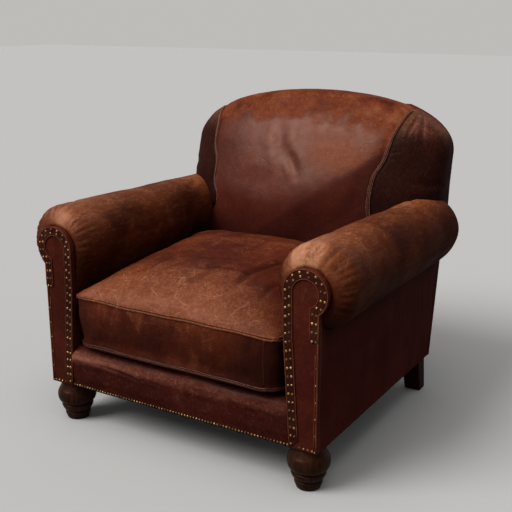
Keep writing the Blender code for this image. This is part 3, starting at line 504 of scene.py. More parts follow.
def grid_piece(name, grid, inside, closed=False, wall=0.0, **values):
    """A smooth mesh over a grid of points, with a float attribute for each named array of values."""
    rows, columns = grid.shape[:2]
    _, turned = outward(grid, inside)
    index = np.arange(rows * columns).reshape(rows, columns)
    if closed:
        index = np.concatenate([index, index[:, :1]], axis=1)
    quads = np.stack([index[:-1, :-1], index[1:, :-1], index[1:, 1:], index[:-1, 1:]], axis=-1).reshape(-1, 4)
    if turned:
        quads = quads[:, ::-1]
    mesh = bpy.data.meshes.new(name)
    mesh.from_pydata(to_frame(grid).reshape(-1, 3).tolist(), [], quads.tolist())
    for key, array in values.items():
        set_values(mesh, key, np.broadcast_to(array, (rows, columns)))
    mesh.shade_smooth()
    piece = link(name, mesh)
    if wall:
        skin = piece.modifiers.new("wall", "SOLIDIFY")
        skin.thickness = wall
        skin.offset = -1.0
        bake(piece)
    return piece


def bake(piece):
    """Replaces the object's mesh by what its modifiers make of it."""
    graph = bpy.context.evaluated_depsgraph_get()
    mesh = bpy.data.meshes.new_from_object(piece.evaluated_get(graph))
    piece.modifiers.clear()
    piece.data = mesh
    mesh.shade_smooth()
    return piece


def tube(name, points, radius, closed=False):
    """A round bead along a path, made a mesh."""
    curve = bpy.data.curves.new(name, "CURVE")
    curve.dimensions = "3D"
    curve.bevel_depth = radius
    curve.bevel_resolution = 2
    curve.use_fill_caps = not closed
    line = curve.splines.new("POLY")
    line.points.add(len(points) - 1)
    line.use_cyclic_u = closed
    for spot, point in zip(line.points, to_frame(points)):
        spot.co = (*point, 1)
    temporary = link(name + "_line", curve)
    graph = bpy.context.evaluated_depsgraph_get()
    mesh = bpy.data.meshes.new_from_object(temporary.evaluated_get(graph))
    bpy.data.objects.remove(temporary)
    weld(mesh, 1e-6, outwards=True)
    mesh.shade_smooth()
    mesh.name = name
    for key in ("wear", "shade"):
        mesh.attributes.new(key, "FLOAT", "POINT")
    return link(name, mesh)


def fill_attribute(piece, key, function):
    """Sets a float attribute from a function of the points' chair coordinates."""
    spots = vectors_of(piece.data)
    spots[:, 1] -= FRONT
    set_values(piece.data, key, np.broadcast_to(function(spots), len(spots)))


# What repeats along a path: nails and stitches, as Geometry Nodes

class Tree:
    """A Geometry Nodes tree that puts something along a path. It has one size of its own."""

    def __init__(self, name, own_size):
        self.tree = bpy.data.node_groups.new(name, "GeometryNodeTree")
        self.ids = {}
        inputs = {
            "Path": "Geometry", "Pitch": "Float", "Radius": "Float", own_size: "Float",
            "Seed": "Int", "Finish": "Material",
        }
        for label, kind in inputs.items():
            made = self.tree.interface.new_socket(label, in_out="INPUT", socket_type="NodeSocket" + kind)
            self.ids[label] = made.identifier
        self.tree.interface.new_socket("Geometry", in_out="OUTPUT", socket_type="NodeSocketGeometry")
        self.start = self.tree.nodes.new("NodeGroupInput")
        self.end = self.tree.nodes.new("NodeGroupOutput")

    def given(self, label):
        return self.start.outputs[label]

    def add(self, kind, settings=None, out=0, **inputs):
        node = self.tree.nodes.new(kind)
        for key, value in (settings or {}).items():
            setattr(node, key, value)
        for key, value in inputs.items():
            target = [s for s in node.inputs if s.enabled and s.name == key.replace("_", " ")][0]
            if isinstance(value, bpy.types.NodeSocket):
                self.tree.links.new(value, target)
            else:
                target.default_value = value
        return node.outputs[out]

    def chance(self, low, high):
        settings, seed = {"data_type": "FLOAT"}, self.given("Seed")
        return self.add("FunctionNodeRandomValue", settings, out=1, Min=low, Max=high, Seed=seed)

    def spots(self):
        """Points along the path, a pitch apart."""
        line = self.add("GeometryNodeMeshToCurve", Mesh=self.given("Path"))
        settings = {"mode": "LENGTH"}
        return self.add("GeometryNodeResampleCurve", settings, Curve=line, Length=self.given("Pitch"))

    def finish(self, geometry):
        real = self.add("GeometryNodeRealizeInstances", Geometry=geometry)
        smooth = self.add("GeometryNodeSetShadeSmooth", Geometry=real)
        painted = self.add("GeometryNodeSetMaterial", Geometry=smooth, Material=self.given("Finish"))
        self.tree.links.new(painted, self.end.inputs[0])


def nail_tree():
    t = Tree("nail_row", "Rise")
    spots = t.spots()
    ball = t.add("GeometryNodeMeshUVSphere", Segments=10, Rings=6, Radius=t.given("Radius"))
    ratio = t.add("ShaderNodeMath", {"operation": "DIVIDE"})
    t.tree.links.new(t.given("Rise"), ratio.node.inputs[0])
    t.tree.links.new(t.given("Radius"), ratio.node.inputs[1])
    scale = t.add("ShaderNodeCombineXYZ", X=1.0, Y=ratio, Z=1.0)
    dome = t.add("GeometryNodeTransform", Geometry=ball, Scale=scale)
    loose = t.add(
        "FunctionNodeRandomValue", {"data_type": "FLOAT_VECTOR"},
        Min=(-0.14, 0, -0.14), Max=(0.14, 6.28, 0.14), Seed=t.given("Seed"),
    )
    size = t.chance(0.88, 1.08)
    heads = t.add("GeometryNodeInstanceOnPoints", Points=spots, Instance=dome, Rotation=loose, Scale=size)
    t.finish(heads)
    return t


def stitch_tree():
    t = Tree("stitch_row", "Length")
    spots = t.spots()
    rod = t.add("GeometryNodeMeshCylinder", Vertices=6, Radius=t.given("Radius"), Depth=t.given("Length"))
    tangent = t.add("GeometryNodeInputTangent")
    turn = t.add("FunctionNodeAlignRotationToVector", {"axis": "Z"}, Vector=tangent)
    size = t.chance(0.8, 1.1)
    sewn = t.add("GeometryNodeInstanceOnPoints", Points=spots, Instance=rod, Rotation=turn, Scale=size)
    t.finish(sewn)
    return t


NAILS = nail_tree()
STITCHES = stitch_tree()


def rows_along(name, tree, paths, finish, **settings):
    """Runs a tree along several paths and keeps the result as a plain mesh."""
    points, edges = [], []
    for path in paths:
        start = len(points)
        points += to_frame(path).tolist()
        edges += [(start + i, start + i + 1) for i in range(len(path) - 1)]
    mesh = bpy.data.meshes.new(name)
    mesh.from_pydata(points, edges, [])
    piece = link(name, mesh)
    step = piece.modifiers.new("rows", "NODES")
    step.node_group = tree.tree
    for label, value in {**settings, "Finish": finish}.items():
        step[tree.ids[label]] = value
    bake(piece)
    return keep(piece, finish)


def add_nails(name, row, pitch, size, seed):
    rows_along(name, NAILS, [row], BRASS, Pitch=pitch, Radius=NAIL_RADIUS * size, Rise=NAIL_RISE, Seed=seed)


def add_stitches(name, rows, finish, pitch, length, radius, seed):
    rows_along(name, STITCHES, rows, finish, Pitch=pitch, Length=length, Radius=radius, Seed=seed)


# Shapes of the chair

def smooth_step(x, low, high):
    t = np.clip((x - low) / (high - low), 0, 1)
    return t * t * (3 - 2 * t)


def rear_y(z, depth_in=0.0):
    return BODY_DEPTH - depth_in + (z - BODY_BOTTOM) * RAKE


def facing_inner_x(z):
    share = np.clip((z - BODY_BOTTOM) / (HEAD_HEIGHT - WAIST_DROP - BODY_BOTTOM), None, 1.0)
    return SIDE_X - FOOT_WIDTH + (FOOT_WIDTH - WAIST_WIDTH) * share


def arc(centre, radius, start, end, count):
    turn = np.linspace(start, end, count)
    return np.stack([centre[0] + radius * np.cos(turn), centre[1] + radius * np.sin(turn)], axis=1)


def facing_outline(inset=0.0, count=40):
    """The right facing's edge from its inner foot, round the head, to its outer foot, as (x, z)."""
    centre = (SIDE_X - HEAD_FROM_SIDE, HEAD_HEIGHT)
    radius = HEAD_RADIUS - inset
    neck = math.acos((HEAD_FROM_SIDE - inset) / radius)
    heights = np.linspace(BODY_BOTTOM + inset, HEAD_HEIGHT - WAIST_DROP, 12)
    inner = np.stack([facing_inner_x(heights) + inset, heights], axis=1)
    head = arc(centre, radius, math.pi + HEAD_START, -neck, count)
    outer_heights = np.linspace(head[-1, 1] - 0.01, BODY_BOTTOM + inset, 12)
    outer = np.stack([np.full(12, SIDE_X - inset), outer_heights], axis=1)
    return np.concatenate([inner, head, outer])


def roll_at(y):
    grown = np.clip((y - FACING_BOARD) / ROLL_SHOULDER, 0, 1)
    swell = np.sqrt(1 - (1 - grown) ** 2)
    x = SIDE_X - HEAD_FROM_SIDE + (HEAD_FROM_SIDE - ROLL_FROM_SIDE) * swell
    z = HEAD_HEIGHT + (ROLL_HEIGHT - HEAD_HEIGHT) * swell - ROLL_DROP * y / BODY_DEPTH
    radius = HEAD_RADIUS - 0.001 + (ROLL_RADIUS - HEAD_RADIUS) * swell - ROLL_TAPER * y / BODY_DEPTH
    join = math.pi + HEAD_START + (ROLL_INNER - math.pi - HEAD_START) * swell
    return x, z, radius, join


def arm_places(rows):
    """Depths along an arm, each with how much its roll has shrunk in its rounded rear end."""
    rear = rear_y(ROLL_HEIGHT - ROLL_DROP, 0.008)
    first = FACING_BOARD + JOINT_GAP
    swell = first + ROLL_SHOULDER * (1 - np.cos(np.linspace(0, math.pi / 2, rows // 5)))
    straight = np.linspace(first + ROLL_SHOULDER, rear - ROLL_END_ROUND, rows)[1:]
    places = [(first, 0.86)] + [(y, 1.0) for y in swell] + [(y, 1.0) for y in straight]
    for turn in np.radians(np.linspace(3, 89, rows // 4)):
        shrink = 1 - ROLL_END_ROUND / roll_at(rear)[2] * (1 - math.cos(turn))
        places.append((rear - ROLL_END_ROUND * (1 - math.sin(turn)), shrink))
    return places, rear


def arm_lean(y, rear):
    return RAKE * max(y - BODY_DEPTH / 2, 0.0) / (rear - BODY_DEPTH / 2)


def arm_grid(rows=120, inner=34, round_count=120):
    """The right arm's skin, with the depth and the turn round the roll at each point."""
    places, rear = arm_places(rows)
    places += [(rear, share) for share in (0.22, 0.10, 0.03)]
    grid, depth, turn_of = [], [], []
    for y, shrink in places:
        x, z, radius, join = roll_at(y)
        heights = np.linspace(DECK_HEIGHT - 0.010, HEAD_HEIGHT - 0.101, inner)
        line = np.stack([facing_inner_x(heights), heights], axis=1)
        turns = np.linspace(join, ROLL_UNDER, round_count)
        ring = np.stack([x + radius * shrink * np.cos(turns), z + radius * shrink * np.sin(turns)], axis=1)
        softened = np.concatenate([line, ring])
        for _ in range(10):
            inside = slice(inner - 9, inner + 9)
            before = softened[inner - 10:inner + 8]
            after = softened[inner - 8:inner + 10]
            softened[inside] = (before + after + 2 * softened[inside]) / 4
        lean = arm_lean(y, rear)
        grid.append([(px, y + (pz - z) * lean, pz) for px, pz in softened])
        depth.append([y] * len(softened))
        turn_of.append(list(np.linspace(join + 0.6, join, inner)) + list(turns))
    return np.array(grid), np.array(depth), np.array(turn_of)


def add_arm(side, word, seed):
    grid, depth, turn = arm_grid()
    inside = (SIDE_X - ROLL_FROM_SIDE, 0.35, ROLL_HEIGHT - 0.02)
    gather = np.zeros_like(depth)
    chance = np.random.default_rng(seed)
    places = np.radians(np.arange(-30, 215, 9.0))
    for at in places + chance.uniform(-0.06, 0.06, len(places)):
        reach = chance.uniform(0.035, 0.105)
        deep = chance.uniform(0.0010, 0.0028)
        drift = chance.uniform(-0.5, 0.5)
        line = turn - at - drift * (depth - FACING_BOARD)
        fade = smooth_step(depth, 0.012, 0.022) * (1 - smooth_step(depth, reach * 0.4, reach + 0.02))
        gather -= deep * np.exp(-(line / 0.045) ** 2) * fade
    sag = 0.0022 * lumps(grid, 8.0, seed, 2) + 0.0005 * lumps(grid * np.array([1, 0.4, 1]), 34.0, seed + 1, 2)
    sag *= smooth_step(depth, 0.013, 0.05)
    if side > 0:
        lines = [
            ([(0.02, 1.75), (0.06, 1.60), (0.09, 1.25)], 0.006, 0.0016),
            ([(0.05, 2.2), (0.12, 2.0), (0.20, 1.9)], 0.006, 0.0012),
            ([(0.55, 1.3), (0.60, 1.7), (0.63, 2.0)], 0.008, 0.0018),
        ]
    else:
        lines = [
            ([(0.03, 1.6), (0.08, 1.5), (0.13, 1.15)], 0.006, 0.0016),
            ([(0.50, 2.3), (0.56, 2.0), (0.58, 1.6)], 0.008, 0.0022),
        ]
    lines = [([(far, at * ROLL_RADIUS) for far, at in path], wide, deep) for path, wide, deep in lines]
    amount = gather + sag + creases(depth, turn * ROLL_RADIUS, lines)
    grid = push(grid, amount, inside)
    along_top = np.exp(-((turn - 1.85) / 0.62) ** 2)
    over = np.exp(-((turn - 1.75) / 1.05) ** 2)
    # Painted highlight: a pale spot on the front of the roll's shoulder, much stronger on the right arm than
    # on the left; the broader pale band over the top is partly wear, partly painted sheen.
    front = np.exp(-((depth - 0.018) / 0.024) ** 2) * np.exp(-((turn - 1.80) / 0.42) ** 2)
    rub = np.exp(-((depth - 0.060) / 0.130) ** 2)
    spread = np.exp(-((turn - 1.45) / 1.15) ** 2)
    painted_highlight, rubbed_and_sheen = (1.55, 0.36) if side > 0 else (0.35, 0.22)
    wear = 0.10 + 0.22 * along_top + 0.26 * spread + rubbed_and_sheen * over * rub + painted_highlight * front
    wear += 0.30 * along_top * smooth_step(depth, 0.44, 0.60)
    wear *= smooth_step(np.sin(turn), -0.75, 0.45)
    # Painted shade: under the roll, on the roll's outer side, and in the gathers at its front.
    low = 1 - smooth_step(np.sin(turn), -0.95, 0.10)
    outer = smooth_step(np.cos(turn), 0.30, 1.0) * smooth_step(depth, 0.03, 0.30)
    shade = 0.60 * low + 0.16 * outer * (1 - low) + 0.35 * smooth_step(-gather, 0.0005, 0.0018)
    # Painted light: the inner face, which lies in shadow beside the cushion, is made paler and its painted
    # shade weaker.
    face = grid[..., 0] < SIDE_X - ROLL_FROM_SIDE
    wear = np.where(face, np.maximum(wear, 0.26), wear)
    shade = np.clip(np.where(face, 0.4 * shade, shade), 0, 1)
    grid[..., 0] *= side
    inside = (side * inside[0], inside[1], inside[2])
    dull = 0.97 - 0.85 * over * np.exp(-((depth - 0.03) / 0.11) ** 2) - 0.30 * along_top
    arm = grid_piece(f"{word}_arm_cover", grid, inside, wall=COVER, wear=wear, shade=shade, dull=dull)
    keep(arm, ARM_LEATHER, f"{word}_arm", slot="worn_leather", pad=0.75)


def add_outside_arm(side, word, seed):
    """The side panel, whose top edge follows the underside of the roll and its rounded end."""
    places, rear = arm_places(90)
    first = FACING_BOARD + JOINT_GAP
    shares, tops = [], []
    for y, shrink in places:
        x, middle, radius, _ = roll_at(y)
        top = middle - math.sqrt(max((radius * shrink) ** 2 - (SIDE_X - 0.007 - x) ** 2, 0.0)) + 0.001
        deepest = rear_y(top, 0.0075)
        reached = min(y + (top - middle) * arm_lean(y, rear), deepest)
        shares.append(max(reached - first, 0.0) / (deepest - first))
        tops.append(top)
    share, top = np.array(shares), np.array(tops)
    up = np.linspace(0, 1, 50)
    height = BODY_BOTTOM + (top[:, None] - BODY_BOTTOM) * up[None, :]
    deep = first + (rear_y(height, 0.0075) - first) * share[:, None]
    grid = np.stack([np.full_like(deep, SIDE_X - 0.0015), deep, height], axis=2)
    pillow = 0.0035 * np.sin(np.pi * share)[:, None] ** 0.5 * np.sin(np.pi * up)[None, :] ** 0.5
    upright = np.array([1, 1, 0.18])
    folds = 0.0012 * lumps(grid * upright, 26.0, seed, 2) + 0.0010 * lumps(grid, 8.0, seed, 2)
    lines = [
        ([(0.575, 0.36), (0.570, 0.30), (0.578, 0.24)], 0.004, 0.0014),
        ([(0.600, 0.35), (0.598, 0.29), (0.604, 0.25)], 0.004, 0.0011),
        ([(0.43, 0.37), (0.44, 0.31), (0.42, 0.25)], 0.006, 0.0009),
        ([(0.20, 0.36), (0.21, 0.30), (0.22, 0.22)], 0.006, 0.0008),
    ]
    grid[..., 0] += pillow + folds * np.sin(np.pi * up)[None, :] ** 0.4 + creases(deep, height, lines)
    edge = smooth_step(0.02 - deep + first, 0.0, 0.02) + smooth_step(BODY_BOTTOM + 0.02 - height, 0.0, 0.02)
    wear = np.clip(0.05 + 0.30 * edge, 0, 1)
    # Painted shade: darker just under the roll, which overhangs the panel.
    shade = 0.30 + 0.5 * smooth_step(height, top[:, None] - 0.05, top[:, None])
    grid[..., 0] *= side
    panel = grid_piece(f"{word}_outside_panel", grid, (0, 0.35, 0.25), wall=COVER, wear=wear, shade=shade)
    keep(panel, PLAIN_LEATHER, f"{word}_outside_arm", slot="dark_leather")


def flat_piece(name, outline, front, back, bevel=0.0015):
    """A board cut to an outline in the x-z plane, with rounded edges."""
    work = bmesh.new()
    ring = [work.verts.new((x, front + FRONT, z)) for x, z in outline]
    face = work.faces.new(ring)
    made = bmesh.ops.extrude_face_region(work, geom=[face])
    moved = [v for v in made["geom"] if isinstance(v, bmesh.types.BMVert)]
    bmesh.ops.translate(work, verts=moved, vec=(0, back - front, 0))
    bmesh.ops.recalc_face_normals(work, faces=work.faces)
    mesh = bpy.data.meshes.new(name)
    work.to_mesh(mesh)
    work.free()
    piece = link(name, mesh)
    edge = piece.modifiers.new("edges", "BEVEL")
    edge.width = bevel
    edge.segments = 3
    bake(piece)
    piece.data.set_sharp_from_angle(angle=math.radians(50))
    return piece


def turned(points, side):
    flipped = np.array(points, float)
    flipped[:, 0] *= side
    return flipped


def in_plane(path, y):
    """An (x, z) path as points at a depth."""
    path = np.array(path)
    return np.stack([path[:, 0], np.full(len(path), y), path[:, 1]], axis=1)


def band_line(inset):
    """A line along the nailed band: up the inner edge, round the head and part way down the outer edge."""
    outline = facing_outline(inset)
    outer = outline[52:]
    tail = outer[outer[:, 1] > BAND_END]
    return np.concatenate([outline[:52], tail, [(SIDE_X - inset, BAND_END)]])


def lengths_along(path):
    return np.concatenate([[0], np.cumsum(np.hypot(*np.diff(path, axis=0).T))])


def after(path, distance):
    """The rest of a path, once its first stretch is left out."""
    steps = lengths_along(path)
    start = [np.interp(distance, steps, path[:, axis]) for axis in (0, 1)]
    return np.concatenate([[start], path[steps > distance]])


def add_facing(side, word, seed):
    outline = facing_outline()
    board = flat_piece(f"{word}_facing", turned(outline, side), 0.0, FACING_BOARD, 0.003)
    fill_attribute(
        board, "wear",
        lambda p: 0.18 + 0.15 * smooth_step(p[:, 2], 0.44, 0.53) + 0.1 * smooth_step(p[:, 2], 0.16, 0.11),
    )
    fill_attribute(board, "shade", lambda p: 0.12)
    keep(board, FACING_LEATHER, f"{word}_arm_facing", slot="dark_leather")
    edge_in, edge_out = band_line(0.0016), band_line(0.0225)
    band_outline = np.concatenate([edge_in, edge_out[::-1]])
    band = flat_piece(f"{word}_band", turned(band_outline, side), -0.0022, -0.0002, 0.0006)
    fill_attribute(band, "wear", lambda p: 0.25)
    fill_attribute(band, "shade", lambda p: 0.0)
    keep(band, BAND_LEATHER, f"{word}_nail_band", slot="band_leather")
    welts = [
        tube(f"{word}_band_welt_{i + 1}", in_plane(turned(band_line(inset), side), -0.0020), radius)
        for i, (inset, radius) in enumerate(((0.0020, 0.0016), (0.0228, 0.0012)))
    ]
    for name, inset, points, y, radius in (
        ("outer_welt", 0.0030, 13, -0.0006, 0.0022), ("outer_welt_2", 0.0085, 9, -0.0002, 0.0016),
    ):
        outer = facing_outline(inset)[-points:]
        welts.append(tube(f"{word}_{name}", in_plane(turned(outer, side), y), radius))
    for welt in welts:
        fill_attribute(welt, "wear", lambda p: 0.80)
        keep(welt, FACING_LEATHER)
    for number, inset, skip in ((1, 0.0072, 0.0), (2, 0.0166, BAND_PITCH / 2)):
        row = in_plane(turned(after(band_line(inset), skip + 0.006), side), -0.0024)
        add_nails(f"{word}_band_nails_{number}", row, BAND_PITCH, 1.0, seed + number)
    low = BODY_BOTTOM + 0.0075
    foot = np.linspace((facing_inner_x(BODY_BOTTOM) + 0.026, low), (SIDE_X - 0.012, low), 6)
    low_row = in_plane(turned(foot, side), -0.0004)
    add_nails(f"{word}_foot_nails", low_row, EDGE_PITCH, 0.8, seed + 1)
    sparse = in_plane(turned(facing_outline(0.0058)[-8:], side), -0.0006)
    add_nails(f"{word}_side_nails", sparse, 0.034, 0.7, seed + 2)


def border_profile():
    """Depth and height from the front border's bottom edge, up its face, over its lip and back."""
    lip = 0.026
    front = 0.003
    face = np.stack([np.full(34, front), np.linspace(BODY_BOTTOM + 0.001, DECK_HEIGHT - lip, 34)], axis=1)
    curve = arc((front + lip, DECK_HEIGHT - lip), lip, math.pi, math.pi / 2, 22)[1:]
    back = np.stack([np.linspace(front + lip, 0.103, 18)[1:], np.full(17, DECK_HEIGHT)], axis=1)
    return np.concatenate([face, curve, back])


def add_front_border():
    profile = border_profile()
    share = np.linspace(-1, 1, 170)
    half = facing_inner_x(profile[:, 1]) - 0.0004
    grid = np.zeros((len(profile), len(share), 3))
    grid[..., 0] = half[:, None] * share[None, :]
    grid[..., 1] = profile[:, 0][:, None]
    grid[..., 2] = profile[:, 1][:, None]
    x = grid[..., 0].copy()
    along = lengths_along(profile)[:, None] + 0 * x
    swell = 0.0045 * np.exp(-((along - 0.083) / 0.022) ** 2)
    swell += 0.0040 * np.exp(-((along - 0.078) / 0.014) ** 2) * smooth_step(-x, 0.0, 0.28)
    belly = 0.0030 * np.sin(np.clip(along / 0.075, 0, 1) * np.pi)
    rough = 0.0022 * lumps(grid, 11.0, 3, 2) + 0.0009 * lumps(grid, 38.0, 4, 2)
    lines = [
        ([(-0.245, 0.079), (-0.19, 0.075), (-0.14, 0.070), (-0.10, 0.0645)], 0.0045, 0.0030),
        ([(-0.10, 0.0645), (-0.07, 0.069), (-0.03, 0.063)], 0.0035, 0.0018),
        ([(-0.287, 0.072), (-0.290, 0.050), (-0.286, 0.030)], 0.0040, 0.0016),
        ([(0.02, 0.080), (0.09, 0.076), (0.15, 0.080)], 0.0055, 0.0013),
        ([(0.20, 0.060), (0.25, 0.066), (0.29, 0.060)], 0.0055, 0.0012),
    ]
    calm = smooth_step(along, 0.008, 0.03)
    amount = (swell + belly + rough) * calm + creases(x, along, lines)
    grid = push(grid, amount, (0, 0.08, 0.15))
    reach = facing_inner_x(grid[..., 2]) - 0.0004
    grid[..., 0] = np.clip(grid[..., 0], -reach, reach)
    # Painted highlight along the rounded lip, stronger towards the left where the light comes from; the left
    # end is painted a little lighter too.
    lip = np.exp(-((along - 0.084) / 0.013) ** 2)
    wear = 0.12 + 0.85 * lip * (0.55 + 0.45 * smooth_step(-x, -0.25, 0.25)) + 0.10 * smooth_step(-x, 0.1, 0.3)
    # Painted shade: behind the lip, under the cushion, and low on the face by the floor.
    shade = 0.75 * smooth_step(along, 0.105, 0.125) + 0.25 * smooth_step(0.02 - along, 0.0, 0.02)
    dull = 1 - 0.9 * lip
    border = grid_piece(
        "front_border_cover", grid, (0, 0.08, 0.15), wall=COVER, wear=wear, shade=shade, dull=dull
    )
    keep(border, LIP_LEATHER, "front_border", slot="worn_leather", pad=0.5)
    half = float(facing_inner_x(BODY_BOTTOM)) - 0.005
    row = [(x, 0.0012, BODY_BOTTOM + 0.0065) for x in np.linspace(-half, half, 60)]
    add_nails("border_nails", row, EDGE_PITCH, 0.8, 41)


# The back

def dome_turn(z):
    return np.arcsin(np.clip((z - BACK_SHOULDER) / BACK_DOME, 0, 1))


def back_half(z):
    return BACK_WIDE * np.maximum(np.cos(dome_turn(z)), 1e-6) ** (2 / DOME_POWER)


def back_front(z):
    lean = BACK_LEAN * 0.03 * np.log(1 + np.exp((z - BACK_LEAN_HEIGHT) / 0.03))
    y = BACK_FRONT_Y + lean
    return y + (BACK_TOP_Y - y) * (1 - np.cos(dome_turn(z)) ** 0.7)


def back_rear(z):
    y = rear_y(z, -0.008)
    return y + (BACK_TOP_Y - y) * (1 - np.cos(dome_turn(z)) ** 0.40)


def back_middle(z):
    y = rear_y(z, 0.045)
    return y + (BACK_TOP_Y - y) * (1 - np.cos(dome_turn(z)))


def back_top(x):
    return BACK_SHOULDER + BACK_DOME * np.sqrt(np.maximum(1 - (np.abs(x) / BACK_WIDE) ** DOME_POWER, 0))


def back_y(x, z, front):
    """Depth of the back's surface at a place across and up, on its front or rear side."""
    ratio = np.clip(np.abs(x) / back_half(z), 0, 1)
    if front:
        ahead = back_middle(z) - back_front(z)
        return back_middle(z) - ahead * (1 - ratio ** FRONT_POWER) ** (1 / FRONT_POWER)
    return back_middle(z) + (back_rear(z) - back_middle(z)) * (1 - ratio ** REAR_POWER) ** (1 / REAR_POWER)


def seam_x(z, side=1):
    """How far out the seam beside the panel lies at a height. The left one lies further out."""
    heights, places = SEAM_PATH.T
    sewn = sum(np.interp(z + shift, heights, places) for shift in (-0.009, 0.0, 0.009)) / 3
    return sewn + (LEFT_SEAM_OUT * smooth_step(z, 0.48, 0.57) if side < 0 else 0.0)


def seam_share(x, z):
    """How far across the panel a place is: 0 in the middle, 1 on the seam of its side."""
    return np.abs(x) / np.where(x < 0, seam_x(z, -1), seam_x(z))


def panel_grid(rows=190, columns=170, rear_rows=26, rear_low=0.772):
    """The panel between the seams: up the front, over the top and down to the outside back."""
    across = np.linspace(-1, 1, columns)[None, :]
    up = np.sin(np.linspace(0, 1, rows) ** 0.92 * math.pi / 2)[:, None]
    z = DECK_HEIGHT + 0.15 + (0.8 - DECK_HEIGHT) * up * np.ones_like(across)
    low = DECK_HEIGHT + 0.09
    for _ in range(6):
        x = across * np.where(across < 0, seam_x(z, -1), seam_x(z))
        z = low + (back_top(x) - low) * up
    front = np.stack([x, back_y(x, z, True), z], axis=2)
    down = 1 - np.cos(np.linspace(0, 1, rear_rows + 1)[1:] * math.pi / 2)[:, None]
    z2 = back_top(x[-1:]) * np.ones_like(down)
    for _ in range(6):
        x2 = across * np.where(across < 0, seam_x(z2, -1), seam_x(z2))
        lowest = np.minimum(rear_low, back_top(x2) - 0.012)
        z2 = back_top(x2) + (lowest - back_top(x2)) * down
    rear = np.stack([x2, back_y(x2, z2, False), z2], axis=2)
    grid = np.concatenate([front, rear])
    over = np.concatenate([np.zeros(rows), np.linspace(0, 1, rear_rows)])[:, None] * np.ones_like(across)
    return grid, over


def add_inside_back():
    grid, over = panel_grid()
    inside = (0, 0.66, 0.60)
    x, z = grid[..., 0].copy(), grid[..., 2].copy()
    front = over == 0
    lines = [
        ([(-0.079, 0.739), (-0.060, 0.680), (-0.035, 0.623)], 0.018, 0.0022),
        ([(-0.031, 0.662), (-0.012, 0.636), (0.013, 0.600)], 0.013, 0.0027),
        ([(-0.22, 0.585), (-0.12, 0.570), (-0.03, 0.585)], 0.030, 0.0022),
        ([(0.175, 0.52), (0.205, 0.57), (0.215, 0.62)], 0.018, 0.0018),
    ]
    amount = np.where(front, creases(x, z, lines), 0)
    amount += 0.0024 * lumps(grid, 5.0, 11, 2) * smooth_step(z, 0.46, 0.56)
    amount += 0.0004 * lumps(grid, 26.0, 12, 2)
    across = seam_share(x, z)
    pull = np.exp(-((1 - across) / 0.06) ** 2) * smooth_step(z, 0.52, 0.58)
    amount -= 0.0045 * pull
    past_fold = (x - 0.065) * 0.57 - (z - 0.558) * 0.82
    turned_away = 0.010 * np.log(1 + np.exp(past_fold / 0.010))
    amount -= 0.16 * np.minimum(turned_away, 0.10) * smooth_step(z, 0.38, 0.50) * smooth_step(x, -0.04, 0.06)
    chance = np.random.default_rng(5)
    for side in (-1, 1):
        for at in np.linspace(0.66, 0.80, 9):
            at = at + chance.uniform(-0.006, 0.006)
            deep = chance.uniform(0.0004, 0.0011)
            reach = np.clip((across - chance.uniform(0.84, 0.92)) / 0.1, 0, 1)
            line = z - at - 0.25 * (1 - across)
            amount -= np.where((x * side > 0) & front, deep * reach * np.exp(-(line / 0.0035) ** 2), 0)
    grid = push(grid, amount, inside)
    ragged = 0.022 * lumps(grid, 16.0, 14, 3) + 0.030 * across * across
    crown = smooth_step(z + ragged, 0.735, 0.768)
    by_seam = smooth_step(across, 0.76, 0.96) * smooth_step(z, 0.63, 0.70) * (x > 0)
    beyond = smooth_step(past_fold, -0.004, 0.022)
    # Painted highlight: a broad sheen across the middle of the panel, which stops past the fold.
    rubbed_and_sheen = np.exp(-((x - 0.12) / 0.11) ** 2 - ((z - 0.665) / 0.055) ** 2)
    wear = 0.18 + 0.46 * crown + 0.62 * rubbed_and_sheen * (1 - beyond)
    wear += 0.34 * by_seam + 0.42 * lumps(grid, 26.0, 15, 3) * np.maximum(crown, by_seam)
    # Painted shade: low down towards the cushion, where the colour is also kept less tan, past the fold where
    # the panel turns away, and next to the seams.
    wear -= 0.15 * smooth_step(0.60 - z, 0.0, 0.12)
    shade = 0.30 * beyond * smooth_step(0.74 - z, 0.0, 0.06) + 0.35 * smooth_step(across, 0.965, 1.0)
    shade += 0.10 * smooth_step(0.62 - z, 0.0, 0.10) + 0.50 * smooth_step(0.50 - z, 0.0, 0.10)
    dull = 0.10 + 0.5 * beyond + 0.80 * np.maximum(crown, 0.7 * by_seam)
    dull += 0.35 * smooth_step(0.60 - z, 0.0, 0.10)
    shade = np.clip(shade, 0, 1)
    panel = grid_piece("inside_back_panel", grid, inside, wall=COVER, wear=wear, shade=shade, dull=dull)
    keep(panel, BACK_LEATHER, "inside_back", slot="worn_leather", pad=0.7)


def top_seam_height(side=1):
    """The height at which the back's outline and the seam meet, at the top of a side border."""
    low, high = 0.76, BACK_SHOULDER + BACK_DOME
    for _ in range(40):
        middle = (low + high) / 2
        if back_half(middle) > seam_x(middle, side):
            low = middle
        else:
            high = middle
    return low


